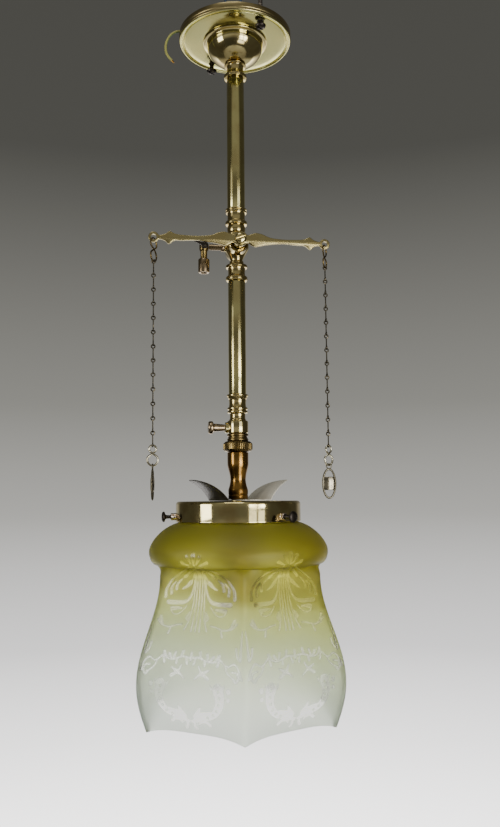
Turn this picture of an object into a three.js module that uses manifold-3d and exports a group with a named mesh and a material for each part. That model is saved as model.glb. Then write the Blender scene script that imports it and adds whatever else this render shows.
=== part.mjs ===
// Gas ceiling light: a brass down rod with a two-chain cock and an inverted burner,
// wired for an electric lampholder, under a six-sided glass shade.
// Millimetres, +Z up. The origin is the centre of the ceiling plate, in the plane of the ceiling.
// The lever of the cock lies along X, and its screw faces -Y, the front.

import * as THREE from 'three';
import { mergeVertices } from 'three/addons/utils/BufferGeometryUtils.js';
import Module from 'manifold-3d';

const wasm = await Module();
wasm.setup();

// Clearances and roundness
const seatGap = 0.3;
const cutOverrun = 2;
const mergeDistance = 0.0001;
const fineSides = 32;
const bowlSides = 20;
const spindleSides = 14;
const pinSides = 10;
const wireSides = 6;
const arcSegments = 5;
const degree = Math.PI / 180;

// Ceiling plate
const plateRadius = 42;
const plateDepth = 6;
const plateWall = 2;
const plateWeb = 1.4;
const plateRecess = 0.6;
const beadWidth = 2.4;
const grooveDepth = 0.6;
const fixingPitchRadius = 33;
const fixingHoleRadius = 2.6;
const fixingTurn = -64;

// Cup under the ceiling plate
const cupFlangeRadius = 24;
const cupBowlRadius = 21.4;
const cupLandRadius = 6.8;
const cupDepth = 17.3;
const cupWall = 1;
const cupStepHeight = 0.6;
const cupSteps = 5;

// Fixing screws of the plate
const fixingLength = 26;
const fixingShankRadius = 1.7;
const fixingHeadRadius = 3.9;
const fixingHeadHeight = 2.4;
const fixingHeadEdge = 0.8;
const fixingCrownRadius = 2;
const fixingPointRadius = 0.4;
const fixingPointLength = 5;
const slotWidth = 1;
const slotDepth = 0.9;
const nearScrewHang = 3;
const farScrewHang = 5.8;

// Down rod
const wireBoreRadius = 3;
const nippleRadius = 5;
const tubeWall = 1;
const upperTubeRadius = 6.5;
const upperTubeLength = 101.3;
const lowerTubeRadius = 6.3;
const lowerTubeLength = 82.8;
const spigotLength = 8;

// Socket between the cup and the upper tube
const socketRingRadius = 8.3;
const socketRingHeight = 1.2;
const socketWaistRadius = 6.4;
const socketWaistHeight = 7;
const socketFlangeRadius = 8.5;
const socketFlangeHeight = 2.6;

// Locknut and earth tag on the nipple
const locknutRadius = 8;
const locknutHeight = 2.2;
const tagRadius = 7.4;
const tagThickness = 0.6;
const tagTongueLength = 5;
const tagTongueWidth = 3.4;

// Union above the cock
const upperFlangeRadius = 7.8;
const upperFlangeHeight = 3;
const upperWaistRadius = 6.6;
const upperWaistHeight = 6.4;
const upperRingRadius = 8;
const upperRingHeight = 2.7;
const upperNeckRadius = 6.7;
const upperNeckEndRadius = 6;
const upperNeckHeight = 6.2;
const cockNippleRadius = 4.2;
const cockNippleLength = 4;

// Cock body
const cockTopRadius = 6.9;
const cockTopHeight = 5;
const plugDrop = 5.5;
const cockShoulderRadius = 8;
const cockBellyRadius = 9;
const cockBellyHeight = 6.5;
const cockFunnelHeight = 9;
const cockFootRadius = 4.4;
const cockRingRadius = 5.2;
const cockRingHeight = 3;
const barrelRadius = 7;
const barrelFront = 13;
const barrelBack = 11;

// Plug of the cock, its washer and nut
const plugFrontRadius = 4.6;
const plugBackRadius = 4.2;
const plugGasWay = 3.2;
const plugThreadRadius = 2.4;
const plugThreadLength = 5.4;
const tenonWidth = 5;
const plugWasherRadius = 5.6;
const plugWasherThickness = 0.8;
const plugNutRadius = 5;
const plugNutHeight = 3;

// Lever and its screw
const leverOffset = 20;
const leverThickness = 2;
const leverReach = 61;
const leverDrop = 1.5;
const leverHub = 5.4;
const leverRoot = 3;
const eyeNeckShare = 0.26;
const eyeRadius = 3.75;
const eyeHoleRadius = 2;
const leverHalfWidth = 5.2;
const leverScrewRadius = 4;
const leverCrownRadius = 2.4;
const leverSlotTurn = 20;
const leverScrewHeight = 2.4;
const leverScrewShank = 1.6;
const leverScrewLength = 6;

// By-pass branch on the left of the cock
const branchReach = 24;
const branchTubeRadius = 2.1;
const branchBore = 1;
const branchUnionRadius = 3;
const branchUnionLength = 2.2;
const elbowRadius = 3.3;
const elbowHeight = 7;
const branchArmRadius = 2.45;
const branchArmLength = 5.6;
const nozzleRadius = 4.1;
const nozzleHeight = 10.4;
const nozzleBore = 1.9;
const nozzleSocketDepth = 3;
const nozzleEdge = 1;
const nozzleEdgeRadius = 3.3;
const keyPinRadius = 1.3;
const keyHeadRadius = 2.4;
const keyHeadHeight = 1.6;
const keyArmLength = 10.5;
const keyArmWidth = 2;
const keyArmLift = 25;

// Union below the cock
const lowerFlangeRadius = 7.9;
const lowerFlangeHeight = 2.2;
const lowerWaistRadius = 6.4;
const lowerWaistHeight = 6.1;
const lowerRingHeight = 3.7;

// Union above the burner
const burnerFlangeRadius = 7.75;
const burnerFlangeHeight = 3.2;
const burnerWaistRadius = 6.4;
const burnerWaistHeight = 6;
const doubleRingRadius = 7.35;
const doubleRingHeight = 1.9;
const doubleRingGroove = 0.5;
const burnerNeckRadius = 5.7;
const burnerNeckHeight = 4.5;
const thinRingRadius = 6.3;
const thinRingHeight = 0.6;
const burnerNippleRadius = 4.2;
const burnerNippleLength = 4;

// Regulator sleeve and its thumbscrew
const sleeveRadius = 7.5;
const sleeveHeight = 9;
const sleeveBoreRadius = 5.8;
const sleeveThroatHeight = 4.3;
const regulatorBossRadius = 3.9;
const regulatorBossLength = 1.7;
const regulatorDrop = 4.8;
const thumbHeadRadius = 4.6;
const thumbHeadLength = 3.6;
const thumbEdgeRadius = 3.7;
const thumbShankRadius = 2.6;
const thumbShankLength = 8.1;
const thumbNeedleRadius = 1.1;
const thumbNeedleLength = 3.2;

// Air band and milled ring
const bandRadius = 7.6;
const bandHeight = 5.1;
const bandGroove = 0.7;
const milledRadius = 10.5;
const milledEdgeRadius = 8.6;
const milledHeight = 7.4;
const milledEdge = 1.6;

// Bunsen tube
const bunsenShankRadius = 5.5;
const bunsenShankLength = 16;
const bunsenTopRadius = 7.5;
const bunsenTopHeight = 9;
const bunsenUpperRadius = 6.2;
const bunsenWaistRadius = 5.5;
const bunsenLowerRadius = 5.9;
const bunsenWaistDrop = 10;
const bunsenFootRadius = 7;
const bunsenFlareDrop = 7.4;
const bunsenFootHeight = 6.8;
const nippleSocketDepth = 7;
const bunsenBore = 4.2;

// Heat deflector with two raised leaves
const deflectorRadius = 40;
const deflectorThickness = 0.6;
const leafFold = 14.5;
const leafRiseAngle = 60;
const leafTipRiseAngle = 10;
const leafStations = 9;
const leafTipAngle = 7;
const deflectorTurn = 4;

// Gallery
const galleryRadius = 44;
const galleryWall = 0.9;
const galleryHeight = 14.3;
const galleryShoulder = 2.3;
const cornerAngles = [0, 45, 90];
const galleryVentRadius = 4;
const galleryVentPitch = 27;
const galleryVentSpread = 38;
const galleryNippleLength = 34;
const nippleGrip = 7;
const galleryNippleBore = 3.3;
const galleryNutRadius = 8;
const galleryNutHeight = 3;

// Gallery screws and their bushes
const screwDrop = 10.5;
const screwRadius = 1.4;
const screwTipRadius = 0.7;
const screwHeadRadius = 3.7;
const screwHeadLength = 2;
const screwAngles = [-87.6, 32.4, 152.4];
const screwReaches = [10, 12.5, 12];
const bushRadius = 2.5;
const bushLength = 3.5;
const bushSpigotRadius = 2.2;

// Glass shade
const glassWall = 2.6;
const neckRadius = 40.5;
const lipRadius = 42.2;
const lipHeight = 2.9;
const neckLength = 5.8;
const shoulderRadius = 62.6;
const shoulderDrop = 19.7;
const creaseRadius = 57.8;
const creaseDrop = 8.7;
const waistRadius = 61.6;
const waistDrop = 6.4;
const bellyRadius = 78.5;
const bellyDrop = 67.2;
const rimRadius = 71.4;
const rimDrop = 29.4;
const rimArch = 3.9;
const shadeTurn = -5.6;
const shadeSides = 6;
const shoulderFullness = 1.25;
const hexShare = 0.7;
const shoulderSteps = 4;
const creaseSteps = 2;
const bellySteps = 5;
const rimSteps = 3;
const stepsPerPanel = 6;

// Lampholder
const holderNeckRadius = 7;
const holderNeckHeight = 6;
const holderRadius = 14;
const holderWall = 1.2;
const holderDomeHeight = 7;
const holderCapHeight = 9;
const holderCollarRadius = 15.6;
const holderCollarHeight = 4.6;
const holderShellHeight = 34;
const holderRingRadius = 16.8;
const holderRingWidth = 3;
const holderRingHeight = 4.4;
const holderRingDrop = 16;
const bayonetWidth = 2.6;
const bayonetLength = 9;
const insulatorHeight = 10;
const insulatorInset = 0.8;
const contactRadius = 1.8;
const contactSpacing = 4;
const contactProud = 3;
const contactLength = 8;
const contactTravel = 2.5;

// Chains and pulls
const wireSections = 4;
const linkSteps = 6;
const loopSteps = 12;
const linkWire = 0.45;
const linkEyeRadius = 1.25;
const linkPitch = 9.97;
const linkMesh = 0.75;
const linkPlay = 0.2;
const upperLinks = 7;
const lowerLinks = 6;
const topLinkWire = 0.55;
const topLinkHang = 0.8;
const topLinkUpper = 4.2;
const topLinkLower = 4.1;
const topLinkTurn = 60;
const hookWire = 0.55;
const hookUpper = 2.75;
const hookLower = 4.12;
const hookTurns = [-9, 28];
const loopSquashShare = 0.87;
const pullHalfWidth = 5.1;
const pullHalfHeight = 10.7;
const pullFrame = 1.1;
const pullThickness = 1;
const pullEyeRadius = 2.1;
const pullEyeHole = 1.35;
const tabletTop = 4.7;
const tabletFoot = 4.5;
const tabletThickness = 1.8;
const pullTurns = [81, -25];

// Wires
const wireRadius = 0.9;
const wireSpacing = 1.05;
const wireStep = 4;
const liveRoute = [
  [0, 1.05, 0], [0, 1.05, 1.5], [-0.8, 1.1, 4.2], [-3, 1.3, 8.2], [-5.2, 1.4, 12.8],
  [-6.4, 1.5, 18], [-6.8, 1.5, 23.6], [-6.9, 1.5, 32.6],
];
const neutralRoute = [
  [0, -1.05, 0], [0, -1.05, 1.5], [0.5, -1.1, 4.2], [1.9, -1.2, 8.2], [3.3, -1.3, 12.8],
  [4.1, -1.4, 18], [4.4, -1.5, 23.6], [4.5, -1.5, 32.6],
];
const earthRoute = [
  [-13.2, 0, -2.5], [-19, 0, -2.2], [-25, 0.4, -0.8], [-31.5, 0.8, 0.9], [-38.5, 1.1, 1.3],
  [-42, 1.1, 1.3], [-46.6, 1, -0.6], [-50.4, 0.5, -5.6], [-52.2, 0, -13.4], [-51, 0, -19],
  [-47.6, 0, -23],
];

// Finishes
const brass = new THREE.MeshStandardMaterial({ color: 0xc9a64f, roughness: 0.2, metalness: 1 });
const agedBrass = new THREE.MeshStandardMaterial({ color: 0x6e5a2c, roughness: 0.45, metalness: 1 });
const bronze = new THREE.MeshStandardMaterial({ color: 0x9a6a3c, roughness: 0.3, metalness: 1 });
const greySheet = new THREE.MeshStandardMaterial({ color: 0x8b8a80, roughness: 0.4, metalness: 1 });
const nickel = new THREE.MeshStandardMaterial({ color: 0xcfcabb, roughness: 0.2, metalness: 1 });
const darkSteel = new THREE.MeshStandardMaterial({ color: 0x35302a, roughness: 0.5, metalness: 1 });
const glass = new THREE.MeshStandardMaterial({ color: 0xc9cc8a, roughness: 0.3, metalness: 0 });
const ceramic = new THREE.MeshStandardMaterial({ color: 0xe8e4da, roughness: 0.4, metalness: 0 });
const blueSheath = new THREE.MeshStandardMaterial({ color: 0x1d3550, roughness: 0.5, metalness: 0 });
const earthSheath = new THREE.MeshStandardMaterial({ color: 0x9aa02c, roughness: 0.5, metalness: 0 });

// Closed solids from geometries, with their faces turned outwards

function positionsOnly(geometry) {
  const bare = new THREE.BufferGeometry();
  bare.setAttribute('position', geometry.getAttribute('position').clone());
  if (geometry.index) bare.setIndex(geometry.index.clone());
  return mergeVertices(bare, mergeDistance);
}

function signedVolume(points, corners) {
  let sum = 0;
  for (let i = 0; i < corners.length; i += 3) {
    const [a, b, c] = [corners[i], corners[i + 1], corners[i + 2]].map((k) => 3 * k);
    sum += points[a] * (points[b + 1] * points[c + 2] - points[b + 2] * points[c + 1]);
    sum += points[a + 1] * (points[b + 2] * points[c] - points[b] * points[c + 2]);
    sum += points[a + 2] * (points[b] * points[c + 1] - points[b + 1] * points[c]);
  }
  return sum;
}

function closed(geometry) {
  const merged = positionsOnly(geometry);
  const points = merged.getAttribute('position').array;
  const corners = [];
  const index = merged.index.array;
  for (let i = 0; i < index.length; i += 3) {
    const [a, b, c] = [index[i], index[i + 1], index[i + 2]];
    if (a !== b && b !== c && c !== a) corners.push(a, b, c);
  }
  if (signedVolume(points, corners) < 0) corners.reverse();
  const result = new THREE.BufferGeometry();
  result.setAttribute('position', new THREE.BufferAttribute(points, 3));
  result.setIndex(corners);
  return result;
}

function toSolid(geometry) {
  const shape = closed(geometry);
  const vertProperties = new Float32Array(shape.getAttribute('position').array);
  const triVerts = new Uint32Array(shape.index.array);
  return new wasm.Manifold(new wasm.Mesh({ numProp: 3, vertProperties, triVerts }));
}

function fromSolid(solid) {
  const mesh = solid.getMesh();
  const result = new THREE.BufferGeometry();
  result.setAttribute('position', new THREE.BufferAttribute(new Float32Array(mesh.vertProperties), 3));
  result.setIndex(Array.from(mesh.triVerts));
  return result;
}

function join(first, ...others) {
  return fromSolid(others.reduce((sum, next) => sum.add(toSolid(next)), toSolid(first)));
}

function cut(first, ...tools) {
  return fromSolid(tools.reduce((rest, tool) => rest.subtract(toSolid(tool)), toSolid(first)));
}

function moved(geometry, x = 0, y = 0, z = 0) {
  return geometry.clone().translate(x, y, z);
}

// A turned piece hangs down from z = 0. Each step is [radius at its top, radius at its foot, height].
// The last step of a bore has no height: it runs to the foot of the piece.

function profileOf(steps, depth) {
  const line = [];
  let z = 0;
  for (const [top, foot, height] of steps) {
    line.push([top, -z]);
    z = height === undefined ? depth : z + height;
    line.push([foot, -z]);
  }
  return line;
}

function turned(steps, bore = [], sides = spindleSides) {
  const depth = steps.reduce((sum, step) => sum + step[2], 0);
  const outline = profileOf(steps, depth);
  if (bore.length) {
    outline.push(...profileOf(bore, depth).reverse(), outline[0]);
  } else {
    outline.unshift([0, 0]);
    outline.push([0, -depth]);
  }
  const points = [];
  for (const [r, z] of outline) {
    const last = points[points.length - 1];
    if (!last || last.x !== r || last.y !== z) points.push(new THREE.Vector2(r, z));
  }
  return closed(new THREE.LatheGeometry(points, sides).rotateX(Math.PI / 2));
}

const left = new THREE.Vector3(-1, 0, 0);
const front = new THREE.Vector3(0, -1, 0);
const back = new THREE.Vector3(0, 1, 0);
const down = new THREE.Vector3(0, 0, -1);

// The same, laid along an axis instead of hanging down

function turnedAlong(direction, steps, bore = [], sides = spindleSides) {
  const turn = new THREE.Quaternion().setFromUnitVectors(down, direction.clone().normalize());
  return turned(steps, bore, sides).applyQuaternion(turn);
}

function slab(shape, thickness) {
  return closed(new THREE.ExtrudeGeometry(shape, { depth: thickness, bevelEnabled: false }));
}

function hexNut(direction, radius, height, bore) {
  const blank = turnedAlong(direction, [[radius, radius, height]], [], 6);
  const hole = turnedAlong(direction, [[bore, bore, height + 2 * cutOverrun]]);
  return cut(blank, hole.translate(...direction.clone().multiplyScalar(-cutOverrun).toArray()));
}

function screwSlot(radius, depth) {
  return new THREE.BoxGeometry(2 * radius + cutOverrun, slotWidth, 2 * depth);
}

function onCircle(radius, angle) {
  return [radius * Math.sin(angle * degree), -radius * Math.cos(angle * degree)];
}

// The model and its groups

const light = new THREE.Group();

function place(name, geometry, finish, [x, y, z] = [0, 0, 0], parent = light) {
  const mesh = new THREE.Mesh(closed(geometry), finish);
  mesh.name = name;
  mesh.position.set(x, y, z);
  parent.add(mesh);
  return mesh;
}

// Ceiling plate: a shallow cast pan whose rim meets the ceiling

const webFoot = -(plateDepth - plateRecess);
const webTop = webFoot + plateWeb;
const stemHole = nippleRadius + seatGap;

function platePan() {
  const bead = plateRadius - beadWidth;
  const inner = plateRadius - plateWall;
  const groove = webFoot + grooveDepth;
  const outline = [
    [plateRadius, 0],
    [plateRadius, -plateDepth + beadWidth / 2],
    [plateRadius - beadWidth / 4, -plateDepth + beadWidth / 8],
    [plateRadius - beadWidth / 2, -plateDepth],
    [bead, -plateDepth + beadWidth / 8],
    [bead - grooveDepth, groove],
    [bead - 2 * grooveDepth, webFoot],
    [stemHole, webFoot],
    [stemHole, webTop],
    [inner - plateWeb, webTop],
    [inner, webTop + plateWeb],
    [inner, 0],
    [plateRadius, 0],
  ];
  const points = outline.map(([r, z]) => new THREE.Vector2(r, z));
  return closed(new THREE.LatheGeometry(points, fineSides).rotateX(Math.PI / 2));
}

const fixingPlaces = [fixingTurn, fixingTurn + 180].map((angle) => [
  fixingPitchRadius * Math.cos(angle * degree),
  fixingPitchRadius * Math.sin(angle * degree),
]);
const fixingHoles = fixingPlaces.map(([x, y]) => {
  const depth = plateDepth + cutOverrun;
  return moved(turned([[fixingHoleRadius, fixingHoleRadius, depth]]), x, y, 0);
});
place('ceiling_plate', cut(platePan(), ...fixingHoles), brass);

// Cup: a spun bowl clamped under the plate

function cupBowl() {
  const land = cupLandRadius / cupBowlRadius;
  const landAngle = Math.acos(land);
  const flangeFoot = cupWall + cupStepHeight;
  const bowlDepth = (cupDepth - flangeFoot) / Math.sin(landAngle);
  const bowl = (radius, depth, top) => {
    const line = [];
    for (let i = 0; i <= cupSteps; i += 1) {
      const angle = (landAngle * i) / cupSteps;
      line.push(new THREE.Vector2(radius * Math.cos(angle), top - depth * Math.sin(angle)));
    }
    return line;
  };
  const outer = bowl(cupBowlRadius, bowlDepth, -flangeFoot);
  const inner = bowl(cupBowlRadius - cupWall, bowlDepth - cupWall, -flangeFoot).reverse();
  const points = [
    new THREE.Vector2(cupFlangeRadius, 0),
    new THREE.Vector2(cupFlangeRadius, -cupWall),
    new THREE.Vector2(cupBowlRadius + cupStepHeight, -flangeFoot),
    ...outer,
    new THREE.Vector2(stemHole, -cupDepth),
    new THREE.Vector2(stemHole, cupWall - cupDepth),
    ...inner,
    new THREE.Vector2(cupBowlRadius - cupWall, 0),
    new THREE.Vector2(cupFlangeRadius, 0),
  ];
  return closed(new THREE.LatheGeometry(points, bowlSides).rotateX(Math.PI / 2));
}

const cupTop = webFoot - seatGap;
place('plate_cup', cupBowl(), brass, [0, 0, cupTop]);

// Fixing screws, hanging loose in the plate's holes

function fixingScrew() {
  const screw = turned([
    [fixingPointRadius, fixingShankRadius, fixingPointLength],
    [fixingShankRadius, fixingShankRadius, fixingLength - fixingPointLength],
    [fixingHeadRadius, fixingHeadRadius, fixingHeadEdge],
    [fixingHeadRadius, fixingCrownRadius, fixingHeadHeight - fixingHeadEdge],
  ], [], pinSides);
  const foot = -fixingLength - fixingHeadHeight;
  return cut(screw, moved(screwSlot(fixingHeadRadius, slotDepth), 0, 0, foot));
}

['near', 'far'].forEach((side, i) => {
  const hang = [nearScrewHang, farScrewHang][i];
  const [x, y] = fixingPlaces[i];
  place(`fixing_screw_${side}`, fixingScrew(), darkSteel, [x, y, webFoot - hang + fixingLength]);
});

// Socket: nipple through cup and plate, collar below, spigot into the tube

const cupFoot = cupTop - cupDepth;
const nippleTop = -seatGap;
const socketNipple = nippleTop - cupFoot + seatGap;
const upperSpigot = upperTubeRadius - tubeWall - seatGap;
place('rod_socket', turned([
  [nippleRadius, nippleRadius, socketNipple],
  [socketRingRadius, socketRingRadius, socketRingHeight],
  [socketWaistRadius, socketWaistRadius, socketWaistHeight],
  [socketFlangeRadius, socketFlangeRadius, socketFlangeHeight],
  [upperSpigot, upperSpigot, spigotLength],
], [[wireBoreRadius, wireBoreRadius]]), brass, [0, 0, nippleTop]);

// Earth tag and locknut above the plate's web

function tagWithTongue() {
  const washer = turned([[tagRadius, tagRadius, tagThickness]], [[stemHole, stemHole]]);
  const root = (tagRadius - stemHole) / 2;
  const tongue = new THREE.BoxGeometry(tagTongueLength + root, tagTongueWidth, tagThickness);
  const tongueCentre = (root - tagTongueLength) / 2 - tagRadius;
  return join(washer, moved(tongue, tongueCentre, 0, -tagThickness / 2));
}

const tagTop = webTop + seatGap + tagThickness;
place('earth_tag', tagWithTongue(), brass, [0, 0, tagTop]);
const locknutTop = tagTop + locknutHeight;
const locknut = hexNut(down, locknutRadius, locknutHeight, stemHole);
place('rod_locknut', locknut, brass, [0, 0, locknutTop]);

// Upper tube

const socketFoot = cupFoot - seatGap - socketRingHeight - socketWaistHeight - socketFlangeHeight;
const upperTubeTop = socketFoot - seatGap;
place('upper_tube', turned(
  [[upperTubeRadius, upperTubeRadius, upperTubeLength]],
  [[upperTubeRadius - tubeWall, upperTubeRadius - tubeWall]],
), brass, [0, 0, upperTubeTop]);

// Union above the cock, with a spigot up into the tube and a nipple down into the cock

const upperUnionTop = upperTubeTop - upperTubeLength - seatGap;
place('cock_top_union', turned([
  [upperSpigot, upperSpigot, spigotLength],
  [upperFlangeRadius, upperFlangeRadius, upperFlangeHeight],
  [upperWaistRadius, upperWaistRadius, upperWaistHeight],
  [upperRingRadius, upperRingRadius, upperRingHeight],
  [upperNeckEndRadius, upperNeckRadius, upperNeckHeight / 2],
  [upperNeckRadius, upperNeckEndRadius, upperNeckHeight / 2],
  [cockNippleRadius, cockNippleRadius, cockNippleLength],
], [[wireBoreRadius, wireBoreRadius]]), brass, [0, 0, upperUnionTop + spigotLength]);

// Cock body: a funnel-footed casting with a barrel from front to back

const upperUnionHeight = upperFlangeHeight + upperWaistHeight + upperRingHeight + upperNeckHeight;
const cockTop = upperUnionTop - upperUnionHeight - seatGap;
const plugHeight = cockTop - cockTopHeight - plugDrop;
const cockHeight = cockTopHeight + cockBellyHeight + cockFunnelHeight + cockRingHeight;
const unionBore = cockNippleRadius + seatGap;
const cockNippleRoom = cockNippleLength + seatGap;

function cockBody() {
  const casting = turned([
    [cockTopRadius, cockTopRadius, cockTopHeight],
    [cockShoulderRadius, cockBellyRadius, cockBellyHeight / 2],
    [cockBellyRadius, cockBellyRadius, cockBellyHeight / 2],
    [cockBellyRadius, cockFootRadius, cockFunnelHeight],
    [cockRingRadius, cockRingRadius, cockRingHeight],
    [cockNippleRadius, cockNippleRadius, cockNippleLength],
  ]);
  const centre = plugHeight - cockTop;
  const barrelLength = barrelFront + barrelBack;
  const barrel = turnedAlong(back, [[barrelRadius, barrelRadius, barrelLength]]);
  const branch = turnedAlong(left, [[branchUnionRadius, branchUnionRadius, cockBellyRadius]]);
  const blank = join(casting, moved(barrel, 0, -barrelFront, centre), moved(branch, 0, 0, centre));
  const wireWay = turned([
    [unionBore, unionBore, cockNippleRoom + cutOverrun],
    [wireBoreRadius, wireBoreRadius, cockHeight + cockNippleLength],
  ]);
  const plugWay = turnedAlong(back, [[
    plugFrontRadius + seatGap,
    plugBackRadius + seatGap,
    barrelLength + 2 * cutOverrun,
  ]]);
  const toFront = -barrelFront - cutOverrun;
  return cut(blank, moved(wireWay, 0, 0, cutOverrun), moved(plugWay, 0, toFront, centre));
}

place('cock_body', cockBody(), brass, [0, 0, cockTop]);

// Everything that turns with the plug hangs in one group at the plug's centre

const lever = new THREE.Group();
lever.position.set(0, 0, plugHeight);
light.add(lever);

function taperPlug() {
  const neck = leverOffset - seatGap - barrelFront;
  const body = turnedAlong(back, [
    [plugFrontRadius, plugFrontRadius, neck],
    [plugFrontRadius, plugBackRadius, barrelFront + barrelBack],
    [plugThreadRadius, plugThreadRadius, plugThreadLength],
  ]);
  const tenon = new THREE.BoxGeometry(tenonWidth, leverThickness + seatGap, tenonWidth);
  const front = -leverOffset + seatGap;
  const tenonCentre = front - leverThickness / 2;
  const whole = join(moved(body, 0, front, 0), moved(tenon, 0, tenonCentre, 0));
  const gasWay = turned([[plugGasWay, plugGasWay, 4 * plugFrontRadius]]);
  const screwHole = leverScrewShank + seatGap;
  const screwWay = turnedAlong(back, [[screwHole, screwHole, leverScrewLength + cutOverrun]]);
  const screwStart = -leverOffset - leverThickness - cutOverrun / 2;
  return cut(whole, moved(gasWay, 0, 0, 2 * plugFrontRadius), moved(screwWay, 0, screwStart, 0));
}

place('cock_plug', taperPlug(), brass, [0, 0, 0], lever);

const washerHole = plugThreadRadius + seatGap;
place('plug_washer', turnedAlong(
  back,
  [[plugWasherRadius, plugWasherRadius, plugWasherThickness]],
  [[washerHole, washerHole]],
), brass, [0, barrelBack + seatGap, 0], lever);
const plugNutFront = barrelBack + plugWasherThickness + 2 * seatGap;
const plugNut = hexNut(back, plugNutRadius, plugNutHeight, washerHole);
place('plug_nut', plugNut, brass, [0, plugNutFront, 0], lever);

// Lever: two spear-shaped arms cut from sheet, with an eye at each end.
// Each pair is [share of the reach, share of the half width].

const armUpperShares = [
  [0.1, 0.56], [0.17, 0.88], [0.26, 0.78], [0.35, 0.38], [0.5, 0.25],
  [0.67, 0.34], [0.76, 0.5], [0.82, 0.84], [0.86, 0.5], [0.93, eyeNeckShare],
];
const armLowerShares = [
  [0.1, 0.56], [0.16, 1], [0.24, 0.84], [0.33, 0.6], [0.5, 0.34],
  [0.67, 0.42], [0.76, 0.42], [0.825, 0.92], [0.87, 0.5], [0.93, eyeNeckShare],
];

function leverOutline() {
  const shape = new THREE.Shape();
  const neckAngle = Math.asin((eyeNeckShare * leverHalfWidth) / eyeRadius);
  const at = (side, row, [reach, width]) => [
    side * reach * leverReach,
    row * width * leverHalfWidth - reach * leverDrop,
  ];
  const eye = leverReach;
  shape.moveTo(0, leverRoot);
  armUpperShares.forEach((pair) => shape.lineTo(...at(1, 1, pair)));
  shape.absarc(eye, -leverDrop, eyeRadius, Math.PI - neckAngle, -Math.PI + neckAngle, true);
  [...armLowerShares].reverse().forEach((pair) => shape.lineTo(...at(1, -1, pair)));
  shape.lineTo(0, -leverRoot);
  armLowerShares.forEach((pair) => shape.lineTo(...at(-1, -1, pair)));
  shape.absarc(-eye, -leverDrop, eyeRadius, -neckAngle, neckAngle, true);
  [...armUpperShares].reverse().forEach((pair) => shape.lineTo(...at(-1, 1, pair)));
  for (const side of [-1, 1]) {
    const hole = new THREE.Path();
    hole.absarc(side * eye, -leverDrop, eyeHoleRadius, 0, 2 * Math.PI);
    shape.holes.push(hole);
  }
  const square = tenonWidth / 2 + seatGap;
  const socket = new THREE.Path();
  socket.moveTo(-square, -square);
  socket.lineTo(square, -square);
  socket.lineTo(square, square);
  socket.lineTo(-square, square);
  shape.holes.push(socket);
  return shape;
}

function leverSheet() {
  const flat = new THREE.ExtrudeGeometry(leverOutline(), {
    depth: leverThickness,
    bevelEnabled: false,
    curveSegments: arcSegments,
  });
  const hubDisc = turnedAlong(front, [[leverHub, leverHub, leverThickness]]);
  const square = tenonWidth + 2 * seatGap;
  const socket = new THREE.BoxGeometry(square, leverThickness + cutOverrun, square);
  const hub = cut(hubDisc, moved(socket, 0, -leverThickness / 2, 0));
  return join(flat.rotateX(Math.PI / 2), hub);
}

place('lever', leverSheet(), brass, [0, -leverOffset, 0], lever);

function leverScrew() {
  const screw = turnedAlong(back, [
    [leverCrownRadius, leverScrewRadius, leverScrewHeight / 2],
    [leverScrewRadius, leverScrewRadius, leverScrewHeight / 2],
    [leverScrewShank, leverScrewShank, leverScrewLength],
  ]);
  const slot = screwSlot(leverScrewRadius, slotDepth).rotateX(Math.PI / 2);
  return cut(screw, slot.rotateY(leverSlotTurn * degree));
}

const leverFace = -leverOffset - leverThickness - seatGap;
place('lever_screw', leverScrew(), brass, [0, leverFace - leverScrewHeight, 0], lever);

// By-pass branch: a tube to the left, an elbow with a small tap, and a nozzle hanging from it

const tubeStart = cockBellyRadius + seatGap;
const branchTubeLength = branchReach - elbowRadius - seatGap - tubeStart - branchUnionLength;
place('branch_tube', turnedAlong(left, [
  [branchUnionRadius, branchUnionRadius, branchUnionLength],
  [branchTubeRadius, branchTubeRadius, branchTubeLength],
], [[branchBore, branchBore]]), brass, [-tubeStart, 0, plugHeight]);

function branchElbow() {
  const cap = elbowRadius - branchTubeRadius;
  const body = turned([
    [branchTubeRadius, elbowRadius, cap],
    [elbowRadius, elbowRadius, elbowHeight - 2 * cap],
    [elbowRadius, branchArmRadius, cap],
    [branchArmRadius, branchArmRadius, branchArmLength + nozzleSocketDepth - seatGap],
  ]);
  const pinHole = keyPinRadius + seatGap;
  const hole = turnedAlong(back, [[pinHole, pinHole, 2 * elbowRadius + 2 * cutOverrun]]);
  return cut(body, moved(hole, 0, -elbowRadius - cutOverrun, -elbowHeight / 2));
}

const elbowTop = plugHeight + elbowHeight / 2;
place('branch_elbow', branchElbow(), agedBrass, [-branchReach, 0, elbowTop]);

const nozzleTop = elbowTop - elbowHeight - branchArmLength;
place('branch_nozzle', turned([
  [nozzleEdgeRadius, nozzleRadius, nozzleEdge],
  [nozzleRadius, nozzleRadius, nozzleHeight - nozzleEdge],
], [
  [branchArmRadius + seatGap, branchArmRadius + seatGap, nozzleSocketDepth],
  [nozzleBore, nozzleBore],
]), agedBrass, [-branchReach, 0, nozzleTop]);

const tapKey = new THREE.Group();
tapKey.position.set(-branchReach, 0, plugHeight);
light.add(tapKey);

function keyWithArm() {
  const head = elbowRadius + seatGap;
  const pin = turnedAlong(back, [
    [keyHeadRadius, keyHeadRadius, keyHeadHeight],
    [keyPinRadius, keyPinRadius, 2 * elbowRadius + 2 * seatGap],
  ]);
  const arm = new THREE.BoxGeometry(keyArmLength, keyHeadHeight, keyArmWidth);
  const lifted = moved(arm, -keyArmLength / 2, 0, 0).rotateY(keyArmLift * degree);
  const armCentre = -head - keyHeadHeight / 2;
  return join(moved(pin, 0, -head - keyHeadHeight, 0), moved(lifted, 0, armCentre, 0));
}

place('tap_key', keyWithArm(), darkSteel, [0, 0, 0], tapKey);

// Union below the cock and the lower tube

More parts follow.
